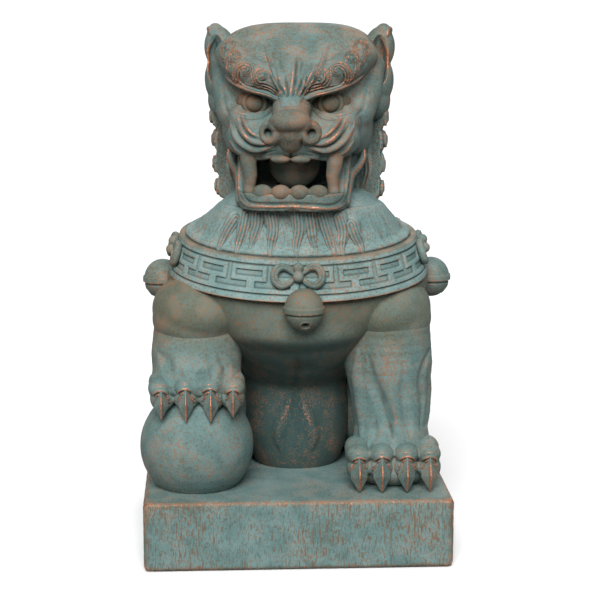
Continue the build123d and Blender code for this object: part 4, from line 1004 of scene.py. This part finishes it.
# %% Model a bow
def bow(node, angle):
    """A ribbon bow on the collar, in the collar's own directions at an angle round the neck."""
    here = collar_point(np.array(angle), np.array(0.6), np.array(1.6))
    ahead = collar_point(np.array(angle + 0.02), np.array(0.6), np.array(1.6)) - here
    above = collar_point(np.array(angle), np.array(0.9), np.array(1.6)) - here
    ahead, above = ahead / np.linalg.norm(ahead), above / np.linalg.norm(above)
    out = np.cross(ahead, above)
    lumps = []
    upper_side = [(1.5, 1.5), (5.5, 4.6), (10, 7.8), (16, 7.4), (19.5, 2.5)]
    lower_side = [(19, -3.5), (14.5, -7.6), (8.5, -6.2), (3, -1.5)]
    ribbon = smooth_path(upper_side + lower_side, 1.2)
    for s in (1, -1):
        for share, (a, b) in zip(np.linspace(0, 1, len(ribbon)), ribbon):
            girth = 3.2 - 1.5 * abs(2 * share - 1) ** 3
            lumps.append(lump(here + 0.92 * (ahead * a * s + above * b) + out * 1.0, (girth, girth, girth)))
    for b in (6.0, -1.0):
        lumps.append(lump(here + above * b + out * 3.4, (4.3, 4.3, 4.3)))
    made = Clay(cast(node + "_cast", lumps, 0.55, 3))
    for s in (1, -1):
        crease = [here + 0.92 * (ahead * a * s + above * b) + out * 6 for a, b in ribbon[3:-3:2]]
        made.press(made.laid(crease, 0.8), 1.1, -0.8, dirty=0.5, ends=(0.3, 0.3))
    keep(made.done(fine=(0.05, 0.2), broad=(0.6, 2.0)), [node], head_finish)


bow("front_bow", -math.pi / 2 - 0.04)
bow("left_bow", -0.06)
bow("right_bow", math.pi + 0.06)

# %% [markdown]
# ## The head's own directions
# The head is turned a little to the lion's right. Its lumps are placed in its own directions: u to its
# left, v towards its back and z up, so left and right can be made alike.

# %% Head directions
head_turn = -8.0
head_x, head_y = 6.0, 1.0
head_c, head_s = math.cos(math.radians(head_turn)), math.sin(math.radians(head_turn))


def head(u, v, z):
    """A place given in the head's own directions, as a place of the object."""
    return np.array((head_x + head_c * u - head_s * v, head_y + head_s * u + head_c * v, z))


def in_head(points):
    """Places of the object in the head's own directions."""
    x, y = points[:, 0] - head_x, points[:, 1] - head_y
    return np.column_stack((head_c * x + head_s * y, -head_s * x + head_c * y, points[:, 2]))


def head_lump(u, v, z, radii, turn=(0, 0, 0)):
    return lump(head(u, v, z), radii, (turn[0], turn[1], turn[2] + head_turn))


def pair(u, v, z, radii, turn=(0, 0, 0)):
    """Two lumps, one on each side of the head."""
    other = (turn[0], -turn[1], -turn[2])
    return [head_lump(u, v, z, radii, turn), head_lump(-u, v, z, radii, other)]


mouth_ball_mid, mouth_ball_r = head(0, -44, 309.3), 20.0

# %% [markdown]
# ## The skull, brow and muzzle
# The face is a box with a flat crown, a heavy brow that rises outwards, deep eyes, and a broad muzzle in
# two lobes. It is built from lumps, the eye sockets are pressed in, and then the curls of the brow, the fan
# of frown lines and the whisker folds are drawn on it along lines read off the photograph. The left brow is
# drawn, and the right one is its mirror image, because the maker's model was close to even.

# %% Cast the head
lumps = [head_lump(0, -8, 368, (46, 57, 49.5)), head_lump(0, -46, 368, (20, 27, 26)),
         head_lump(0, -20, 340, (50, 50, 26))]
lumps += pair(26, -8, 367, (36, 54, 48.5)) + pair(42, -6, 373, (22, 44, 37))
lumps += pair(46, -16, 338, (14, 40, 26))
brow = ((13, -62, 370.5), (25, -62.5, 375.5), (36, -58, 380.5), (45, -48, 387), (51, -33, 393.5))
cheek = ((57, -14, 382), (55, -26, 364), (50, -40, 350))
for s in (1, -1):
    lumps += limb([(head(s * u, v, z), (13, 13, 12)) for u, v, z in brow], 1)
    lumps += limb([(head(s * u, v, z), (12, 14, 15)) for u, v, z in cheek], 3)
lumps += [head_lump(0, -62, 364, (14, 14, 12)), head_lump(0, -69, 353, (15, 17, 13)),
          head_lump(0, -66, 328, (16, 20, 15))]
lumps += pair(25, -58, 331, (27, 26, 18), (0, 6, 14)) + pair(39, -44, 343, (15, 27, 15))
lumps += pair(13, -68, 329, (16, 17, 15.5))
head_piece = cast("head_cast", lumps, 1.3, 6)


def refine(piece, wanted):
    """Cuts the faces of a piece finer where wanted says so, given their middles in millimetres."""
    count = len(piece.data.polygons)
    flat = np.empty(count * 3, np.float32)
    piece.data.polygons.foreach_get("center", flat)
    pick = wanted(flat.reshape(-1, 3).astype(float) / MM)
    for domain in (piece.data.vertices, piece.data.edges):
        domain.foreach_set("select", np.zeros(len(domain), bool))
    piece.data.polygons.foreach_set("select", pick)
    bpy.ops.object.select_all(action="DESELECT")
    piece.select_set(True)
    bpy.context.view_layer.objects.active = piece
    bpy.ops.object.mode_set(mode="EDIT")
    bpy.ops.mesh.select_mode(type="FACE")
    bpy.ops.mesh.subdivide(number_cuts=1)
    bpy.ops.object.mode_set(mode="OBJECT")
    apply(piece, "SMOOTH", factor=0.5, iterations=3)


def fine_face(middles):
    """The brow and the muzzle, which carry the finest lines."""
    u, v, z = in_head(middles).T
    brow = (z > 361) & (z < 403) & (v < -22) & (np.abs(u) > 6)
    muzzle = (z > 314) & (z < 349) & (v < -52)
    return brow | muzzle


refine(head_piece, fine_face)
clay = Clay(head_piece)
for s in (1, -1):
    clay.carve(head(s * 28.5, -77, 357), np.array((20, 21, 10.5)), head(0, 1, 0) - head(0, 0, 0))
clay.settle()
clay.points = clay.blur(clay.points, 3)
clay.clear(mouth_ball_mid, mouth_ball_r + 1.4)
clay.points[:, 2] = clay.points[:, 2].clip(312.5, None)
u, v, z = in_head(clay.points).T
crown_v, crown_z, power = -8, 352, 3.5
bulk = (np.abs(u) / 68.4) ** power + (np.abs(z - crown_z) / 64.7) ** power
bulk = bulk + (np.abs(v - crown_v) / 64) ** power
on_crown = ramp(z, 384, 402) * ramp(v, -46, -26) * (1 - ramp(v, 4, 30))
even = (bulk.clip(1e-6) ** (-1 / power) - 1) * on_crown
clay.points += even[:, None] * (clay.points - head(0, crown_v, crown_z))
clay.settle()
face = clay
print("head points", len(face.points))


# %% Draw on both sides of the face
def both(pixels, width, height, step=1.0, **how):
    """Presses a line seen on the left of the picture, and its mirror image."""
    path = face.seen(pixels, step)
    if len(path) < 2:
        return
    face.press(path, width, height, **how)
    local = in_head(path)
    face.press(face.laid([head(-u, v, z) for u, v, z in local[::2]], 1.0), width, height, **how)


both([(275.7, 102.6), (269.4, 109), (261.7, 113.5), (253, 115.6), (244, 114.6), (233, 111)], 3.0, 2.0,
     worn=0.15)
both([(276, 106), (268, 113.5), (259, 118), (249, 119), (238, 117)], 2.0, -0.9, dirty=0.5)
brow_curls = [
    [(279.5, 95), (272, 88.5), (264, 85), (257, 82.5), (254.2, 77), (256, 72.5), (261, 71), (265, 73.5),
     (265, 77.5), (261.5, 78.5)],
    [(252, 88.5), (244, 85.5), (238, 80.5), (236, 74.5), (238, 68), (244, 65), (249.5, 67), (250, 71.5),
     (246, 73.5), (243.5, 71.5)],
    [(233.5, 79), (230, 72), (228.5, 64), (229.5, 56.5), (233, 52.5), (237, 53), (238.5, 57), (236, 61),
     (232.8, 59.5)],
    [(226, 66), (222.8, 57), (223, 49), (225.5, 43.5), (230, 41.5), (233, 44.5), (231, 49), (227.5, 49.5)],
]
for x, y, size in ((259.5, 77, 7.0), (243, 70.5, 8.5), (234, 57, 6.5), (228.5, 47, 5.5)):
    both([(x - 0.8, y), (x + 0.8, y)], size, 2.6, step=0.4, ends=(1, 1))
face.points = face.points + face.normals * face.rise[:, None]
face.rise[:] = 0
face.settle()
for lock, width in zip(brow_curls, (4.4, 4.8, 3.8, 3.2)):
    both(lock, width, 3.3, lines=4, worn=0.5, ends=(0.5, 0.5), dirty=0.85)
both([(282, 97), (272, 91.5), (262, 88.5), (250, 87), (240, 83), (232, 75), (227, 66)], 3.0, 1.2, lines=3,
     worn=0.3, ends=(0.5, 0.3), dirty=0.5)
fan_lines = [[(261.7, 44), (266, 60), (271, 75), (277, 87), (284, 96)],
             [(294, 53), (293.6, 70), (292, 84), (290, 96)],
             [(316, 60), (312.5, 72), (306, 84), (298, 96)],
             [(327.5, 41), (324, 55), (319, 69), (312, 82), (303, 95)]]
for fan in fan_lines:
    face.press(face.seen(fan, 1.5), 1.9, 1.5, worn=0.3, ends=(0.1, 0.6))
    face.press(face.seen([(x + 2.8, y) for x, y in fan], 1.5), 2.2, -0.8, dirty=0.35, ends=(0.1, 0.6))
for valley in ([(278, 58), (280.5, 76), (286.5, 95)], [(304.5, 60), (301, 78), (294.5, 95)]):
    face.press(face.seen(valley, 1.5), 4.2, -1.1, worn=0.3, ends=(0.1, 0.5))
    crease = [(x + 1, y + 14) for x, y in valley[:2]] + valley[2:]
    face.press(face.seen(crease, 1.5), 1.3, 0.7, worn=0.5, ends=(0.1, 0.5))
frown_roots = (
    [(268.8, 69.8), (272.5, 81), (277.5, 92)], [(277.7, 73.6), (280, 84), (283.5, 95)],
    [(285.4, 75), (286.5, 85), (288, 95.5)], [(300.6, 76), (299.5, 86), (297.5, 95.5)],
    [(307, 73.6), (305, 84), (302, 95)], [(317.2, 71), (313.5, 82), (308.5, 93)],
)
for root in frown_roots:
    face.press(face.seen(root, 1), 1.7, -1.5, dirty=0.7, ends=(0.1, 0.8))
for y in range(27, 62, 5):
    left_half = [(236 + 0.3 * y, y + 6), (262, y + 1.5 * math.sin(y)), (292, y - 1)]
    hair = left_half + [(322, y + 1.5 * math.cos(y)), (356 - 0.3 * y, y + 6)]
    face.press(face.seen(hair, 2), 1.6, 0.45, worn=0.12, ends=(0.1, 0.1))

# %% Draw the folds of the muzzle
whisker_ridges = (
    [(274.5, 146), (258, 150.6), (245, 146.5), (236, 138), (231.5, 128), (230.5, 121)],
    [(272, 141.5), (260.7, 143.6), (249, 139), (241, 129), (238, 119)],
    [(259, 137), (250.5, 132), (244.5, 123.5), (242.5, 116)],
    [(283, 155), (268, 157), (252, 157), (238, 150.5), (230, 141)],
)
whisker_grooves = (
    [(273, 143.8), (259.5, 147), (247, 143), (238.5, 133.5), (234.5, 123)],
    [(260, 140), (250, 135.5), (243, 126.5), (240.5, 117)],
    [(276, 150.5), (260, 154), (246, 151.5), (235, 144)],
)
for ridge in whisker_ridges:
    both(ridge, 3.6, 2.1, worn=0.42, ends=(0.25, 0.3))
for groove in whisker_grooves:
    both(groove, 1.8, -1.5, dirty=0.6, ends=(0.25, 0.3))
face.press(face.seen([(291, 153), (291, 158), (291.5, 163)], 1), 2.0, -1.4, dirty=0.7, ends=(0.8, 0.6))
both([(223, 84), (223.5, 96), (226, 108), (230, 117)], 3.0, -1.0, dirty=0.3, ends=(0.2, 0.2))
keep(face.done(broad=(0.8, 2.6)), ["head"], head_finish)

# %% [markdown]
# ## Nose, eyes and lids
# The nose is a bulb with two curled wings round the nostrils. The eyes are balls with rings for the iris,
# set deep under heavy lids whose lower edge is rubbed to copper. These are small, so they are cast finely.

# %% Model the nose
lumps = limb([(head(0, -64, 360), (14, 11, 9)), (head(0, -71, 352), (15, 14, 10)),
              (head(0.5, -80, 343), (14, 17, 12)), (head(0.5, -79, 336), (13, 16, 12)),
              (head(0, -76, 328.5), (11, 14, 9.5))], 4)
lumps += pair(8, -79, 338, (9, 14, 11))
lumps.append(head_lump(0.5, -88, 344.5, (16, 13, 9.0)))
lumps += pair(9, -85, 341.5, (8, 10, 6.5))
nostrils = []
for s in (1, -1):
    across = head(s * 0.87, 0.5, 0) - head(0, 0, 0)
    outward = head(s * 0.5, -0.87, 0) - head(0, 0, 0)
    middle = head(s * 13.8, -83, 335.8) + outward * 1.5
    nostrils.append((middle, outward))
    lumps.append(lump(middle - outward * 11.0, (10, 10, 9.5)))
    for swing in np.radians(np.arange(0, 360, 12)):
        spot = middle + 5.8 * (across * math.cos(swing) + np.array((0, 0, math.sin(swing))))
        lumps.append(lump(spot, (4.3, 5.6, 4.2)))
nose = Clay(cast("nose_cast", lumps, 0.6, 14))
for middle, outward in nostrils:
    off = nose.points - middle
    depth = off @ outward
    gap = np.linalg.norm(off - np.outer(depth, outward), axis=1)
    gap = np.where(np.abs(depth) < 12, gap, 30)
    nose.rise += 0.5 * (1 - ramp(np.abs(gap - 7.0), 0.6, 2.6)) - 4.0 * (1 - ramp(gap, 1.6, 3.4))
    nose.wear = np.maximum(nose.wear, 0.4 * (1 - ramp(np.abs(gap - 7.0), 0.4, 1.6)))
    # Full dark wash in the nostril holes: patina kept there, and painted shade inside the holes.
    nose.grime_and_shade = np.maximum(nose.grime_and_shade, 1 - ramp(gap, 2.8, 4.2))
wing_crease = [(302.6, 137), (301.6, 143.4), (304.7, 149), (309.6, 153)]
nose.press(nose.seen(wing_crease, 1), 1.6, -1.0, dirty=0.7, ends=(0.3, 0.3))
for wrinkle in (99.5, 103.5, 107.5):
    arc = [(277, wrinkle + 5.5), (284, wrinkle + 1), (294, wrinkle), (304, wrinkle + 1),
           (311, wrinkle + 5.5)]
    nose.press(nose.seen(arc, 1), 1.7, 0.8, worn=0.3, ends=(0.3, 0.3))
keep(nose.done(broad=(0.5, 2.2)), ["nose"], rubbed_finish)

# %% Model the eyes and lids
for side, s in (("left", 1), ("right", -1)):
    centre = head(s * 28, -50.5, 356.5)
    gaze = head(s * 0.1, -1, 0.0) - head(0, 0, 0)
    gaze = gaze / np.linalg.norm(gaze)
    eye = Clay(cast(side + "_eye_cast", [lump(centre, (17, 15, 13))], 0.65, 2))
    off = eye.points - centre
    ring = np.linalg.norm(off - np.outer(off @ gaze, gaze), axis=1) + np.where(off @ gaze < 0, 30, 0)
    eye.rise += 1.6 * np.clip(1 - (ring / 6.4) ** 2, 0, 1)
    for radius, width, rise in ((6.9, 0.9, -0.8), (9.0, 1.1, 0.5), (11.0, 0.9, -0.7)):
        crest = 1 - ramp(np.abs(ring - radius), 0.15, width)
        eye.rise += rise * crest
        eye.wear = np.maximum(eye.wear, 0.12 * crest * (rise > 0))
        eye.grime_and_shade = np.maximum(eye.grime_and_shade, 0.8 * crest * (rise < 0))
    eye.wear = np.maximum(eye.wear, 0.1 * (1 - ramp(ring, 3.0, 6.0)))
    # Painted shade: the eye is darkened all over, and more towards its rim, for the shade under the heavy
    # lids.
    eye.grime_and_shade = np.maximum(eye.grime_and_shade, 0.25 + 0.3 * ramp(ring, 8.0, 13.0))
    keep(eye.done(fine=(0.1, 0.4), broad=(3, 9)), [side + "_eye"], rubbed_finish)

    edge = [(11, -73.5, 360), (19, -75, 363.6), (30, -73.5, 366.4), (39, -68, 369.6), (47, -58.5, 373.5),
            (53, -46, 379), (56, -34, 386)]
    path = smooth_path([head(s * u, v, z) for u, v, z in edge], 1.5)
    lumps = [lump(p + (0, 4.4, 0.6), (2.8, 6.0, 2.7)) for p in path]
    lid = Clay(cast(side + "_eyelid_cast", lumps, 0.6, 4))
    lid.press(lid.laid([p + (0, -4, -2.2) for p in path], 1.5), 1.3, 0.5, worn=0.6, ends=(0.5, 0.3))
    lid.press(lid.laid([p + (0, -6, 1.2) for p in path], 1.5), 1.1, -0.7, dirty=0.7, ends=(0.4, 0.3))
    keep(lid.done(), [side + "_eyelid"], head_finish)

# %% [markdown]
# ## Ears
# An ear is a cupped leaf with a point, its hollow turned forward and a rim round it. Round lumps give the
# leaf, and the hollow is carved into its front.

# %% Model the ears
for side, s in (("left", 1), ("right", -1)):
    lumps = [head_lump(s * 59, -4, 387, (14, 17, 20)),
             head_lump(s * 63.5, -3, 396, (12.5, 13, 18), (0, s * 8, 0)),
             head_lump(s * 66, -4, 404, (8, 9, 12.5), (0, s * 8, 0)),
             head_lump(s * 62.5, -6, 372, (13, 18, 20)),
             head_lump(s * 61, -6, 356, (12, 16, 16))]
    ear = Clay(cast(side + "_ear_cast", lumps, 0.7, 8))
    ear.carve(head(s * 65, -21, 390), np.array((7.5, 15, 21.0)), head(0, 1, 0) - head(0, 0, 0))
    ear.settle()
    ear.points = ear.blur(ear.points, 2)
    ear.settle()
    rim = [(66, -10, 364), (69, -15, 378), (69, -13, 394), (68, -5, 410), (69, 8, 394), (69, 11, 378),
           (66, 8, 364)]
    ear.press(ear.laid([head(s * u, v, z) for u, v, z in rim], 1.5), 2.6, 1.2, worn=0.5, ends=(0.3, 0.3))
    for lift in (-4, 0, 4):
        hair = [(66, -3 + lift, 366), (66, -3 + lift * 0.8, 384), (66, -3 + lift * 0.3, 398)]
        ear.press(ear.laid([head(s * u, v, z) for u, v, z in hair], 1.5), 1.8, 0.8, worn=0.2)
    hollow = [(64, -10, 374), (65, -8, 388), (65.5, -8, 402)]
    ear.press(ear.laid([head(s * u, v, z) for u, v, z in hollow], 1.5), 6.0, -0.6, dirty=0.8)
    brink = [(56, -22, 372), (56.5, -20, 388), (61, -15, 403)]
    ear.press(ear.laid([head(s * u, v, z) for u, v, z in brink], 1.5), 2.0, 0.8, worn=0.25)
    keep(ear.done(), [side + "_ear"], head_finish)

# %% [markdown]
# ## The open jaw
# The lower jaw is a tray: a floor with the ball on it, walls that rise to the cheeks, and a lip rolled
# along the front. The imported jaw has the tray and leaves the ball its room, so a merged copy is one of the
# lumps. A ribbon of lip is added on each side, and the lines of the lips are drawn on.

# %% Model the jaw
lip = [(47, -18, 345), (51.5, -22, 334), (55, -26, 323), (57, -30, 313), (53, -36, 306), (47.5, -44, 300),
       (46, -52, 290), (45, -60, 281)]
lips = []
for s in (1, -1):
    lips += limb([(head(s * u, v, z), (3.0, 4.6, 3.6)) for u, v, z in lip], 4)
jaw = Clay(cast("lower_jaw_cast", [copy_of("lower_jaw")] + lips, 1.0, 5))
u, v, z = in_head(jaw.points).T
slim = 1 - 0.065 * (1 - ramp(v, -30, 5))
jaw.points += ((slim - 1) * u)[:, None] * (head(1, 0, 0) - head(0, 0, 0))
jaw.clear(mouth_ball_mid, mouth_ball_r + 0.5)
jaw.settle()
for s in (1, -1):
    edge = jaw.laid([head(s * (u * 0.94 + 1), v - 5, z) for u, v, z in lip], 1.5)
    jaw.press(edge, 1.5, 0.9, worn=0.8, ends=(0.4, 0.6))
lip_ridge = [(240, 160), (238.8, 176), (239, 190), (241.5, 200), (249, 205.8), (262, 206.6), (276, 206.8),
             (294, 206.5), (313, 208), (331, 208.6), (342, 205.5), (347.5, 198.5), (348.5, 186), (349, 170)]
inner_groove = [(243.5, 162), (243, 178), (243.3, 192), (247, 200), (256, 203.3), (276, 203.8),
                (294, 203.5), (313, 204.5), (330, 205), (339.5, 201.5), (343.6, 195), (344.5, 184),
                (345, 168)]
outer_groove = [(243, 209.5), (258, 212.5), (276, 212), (294, 211), (313, 213.5), (332, 215), (343, 211.5)]
jaw.press(jaw.seen(lip_ridge, 1), 1.5, 1.2, worn=0.49, ends=(0.4, 0.4))
jaw.press(jaw.seen(inner_groove, 1), 1.5, -1.0, dirty=0.6, ends=(0.4, 0.4))
jaw.press(jaw.seen(outer_groove, 1), 1.5, -1.2, dirty=0.6, ends=(0.4, 0.4))
keep(jaw.done(), ["lower_jaw"], head_finish)

# %% [markdown]
# ## Teeth and the loose ball
# Two long fangs and two blunt teeth hang from the upper lip, and four rounded teeth stand on the lower one.
# The ball behind them was carved loose, so it alone rolls, and everything above keeps clear of it.

# %% Model the teeth
fangs, blunt, low = [], [], []
for s in (1, -1):
    fangs += limb([(head(s * 33.5, -70, 319), (6.8, 6.2, 4)), (head(s * 33, -71.5, 311), (6.2, 5.8, 4)),
                   (head(s * 31.5, -72, 302), (5.2, 5.2, 4)), (head(s * 32, -72, 294), (4.2, 4.4, 3.2)),
                   (head(s * 32.6, -72.5, 290), (4.8, 4.6, 3.0))], 4)
    blunt.append(head_lump(s * 7.8, -80.5, 315.2, (7.6, 4.0, 3.0)))
for u in (-21.3, -7.1, 7.1, 21.3):
    low.append(head_lump(u, -84.0 + 0.004 * u * u, 290.2, (7.7, 5.6, 6.0)))
for node, lumps in (("upper_fangs", fangs), ("upper_incisors", blunt), ("lower_teeth", low)):
    teeth = Clay(cast(node + "_cast", lumps, 0.6, 3))
    teeth.clear(mouth_ball_mid, mouth_ball_r + 0.4)
    teeth.settle()
    # Painted shade: the teeth are darkened evenly for the shade of the open mouth.
    teeth.grime_and_shade[:] = 0.26
    keep(teeth.done(fine=(0.1, 0.4), broad=(3, 9)), [node], rubbed_finish)

# %% Model the loose ball
bpy.ops.object.select_all(action="DESELECT")
bpy.ops.mesh.primitive_ico_sphere_add(
    subdivisions=6, radius=mouth_ball_r * MM, location=mouth_ball_mid * MM)
loose = Clay(join("mouth_ball_cast", [bpy.context.object]))
off = loose.points - mouth_ball_mid
loose.rise = 0.05 * np.sin(off @ (0.5, 0.3, 0.4)) * np.sin(off @ (0.2, -0.5, 0.3)) - 0.06
# Painted shade: the loose ball is darkened evenly for the shade inside the mouth.
loose.grime_and_shade[:] = 0.45
keep(loose.done(fine=(0.1, 0.5), broad=(3, 9)), ["mouth_ball"], rubbed_finish, body="mouth_ball")

# %% [markdown]
# ## The mane
# Behind the ears the hair is dressed in rows of snail curls that cover the back of the head down to the
# ruff. The curls are alike, so one is described by its place and size, lumps are laid in staggered rows
# over a hood, and a ridge and a groove are wound to the middle of each. The upper rows are set against the
# crown by a ray, so that each stands out of it by the same amount. Locks and fine lines finish the front
# edge.

# %% Cast the mane
mane_v, mane_z = -2.5, 345
curl_size = 11.0


def curl(angle, elevation, z, reach):
    """Middle of a curl in the head's directions, and the way it faces."""
    angle, elevation = math.radians(angle), math.radians(elevation)
    way = np.array((math.cos(angle) * math.cos(elevation), math.sin(angle) * math.cos(elevation),
                    math.sin(elevation)))
    return np.array((0, mane_v, z)) + way * reach, way


def crown_reach(way):
    """How far the back of the crown is from the middle of the mane, along a direction of the head."""
    middle = head(0, mane_v, mane_z)
    outward = head(*way) - head(0, 0, 0)
    hit = face.surface.ray_cast(Vector((middle + outward * 120) * MM), Vector(-outward))[0]
    return np.linalg.norm(np.array(hit) / MM - middle)


curls = []
for row in range(5):
    z = 286 + 19 * row
    reach = 55.5 + 4 * min(1, (z - 276) / 69)
    lift = math.degrees(math.asin(max(0, z - mane_z) / 62))
    angles = [22.5 * (k + 0.5 * (row % 2)) for k in range(9 - row % 2)] + [-5, 185] * (row % 2)
    for angle in angles:
        curls.append(curl(angle, lift, min(z, mane_z), reach + 2 * abs(math.cos(math.radians(angle)))))
for lift, count, sunk in ((35, 8, 4.5), (52, 7, 5.0), (69, 5, 7.5)):
    for k in range(count):
        angle = 180 * (k + 0.5) / count
        reach = crown_reach(curl(angle, lift, mane_z, 0)[1]) - sunk
        curls.append(curl(angle, lift, mane_z, min(reach, 56 / math.sin(math.radians(lift)))))
hood = ((mane_z, (67, 62, 62)), (312, (67, 60, 44)), (292, (65, 58, 22)))
lumps = [head_lump(0, mane_v, z, radii) for z, radii in hood]
for place, way in curls:
    lumps.append(lump(head(*place), (curl_size, curl_size, curl_size)))
mane = Clay(cast("mane_cast", lumps, 1.15, 6))
u, v, z = in_head(mane.points).T
front = 4 - 0.9 * (np.abs(u) - 48).clip(0, 24)
push = v < front
mane.points[push] += (front[push] - v[push])[:, None] * (head(0, 1, 0) - head(0, 0, 0))
mane.settle()

# %% Wind the curls
for n, (place, way) in enumerate(curls):
    flat = np.cross(way, (0, 0, 1))
    flat = flat / np.linalg.norm(flat)
    rise = np.cross(flat, way)
    spin = 1 if n % 2 else -1
    for start, height, dirty in ((1.4, 0.6, 0.0), (4.1, -1.0, 0.6)):
        wind = []
        for turn in np.linspace(0.35, 1.5, 24):
            reach = start + 5.4 * turn
            swing = spin * 2 * math.pi * turn
            aside = (flat * math.cos(swing) + rise * math.sin(swing)) * reach
            wind.append(head(*(place + way * curl_size * 0.9 + aside)))
        mane.press(mane.laid(wind, 1.2), 1.9, height, worn=0.3 if height > 0 else 0, dirty=dirty,
                   ends=(0.8, 0.3))
cheek_hair = [(60, -6, 347), (58, -2, 332), (57, 0, 316), (58, -2, 300), (54, 2, 286)]
for s in (1, -1):
    for shift in (-4, 1):
        lock = mane.laid([head(s * (u + shift), v, z) for u, v, z in cheek_hair], 1.5)
        mane.press(lock, 3.2, 2.0, worn=0.45, ends=(0.4, 0.3), dirty=0)
    for z in np.arange(286, 352, 19):
        for rise in (-6, -2, 2, 6):
            hair = [(63, -13, z + rise * 0.7), (67, -11, z + rise), (71, -6, z + rise * 1.1)]
            path = mane.laid([head(s * u, v, h) for u, v, h in hair], 1.0)
            mane.press(path, 1.5, 0.5, worn=0.4, ends=(0.3, 0.3))
keep(mane.done(broad=(0.7, 3)), ["mane"], mane_finish)

# %% [markdown]
# ## The clay ball is removed
# The looks must not change the object's size. Here the clay ball that every lump was copied from is removed.

# %% Remove the clay ball
bpy.data.objects.remove(clay_ball)
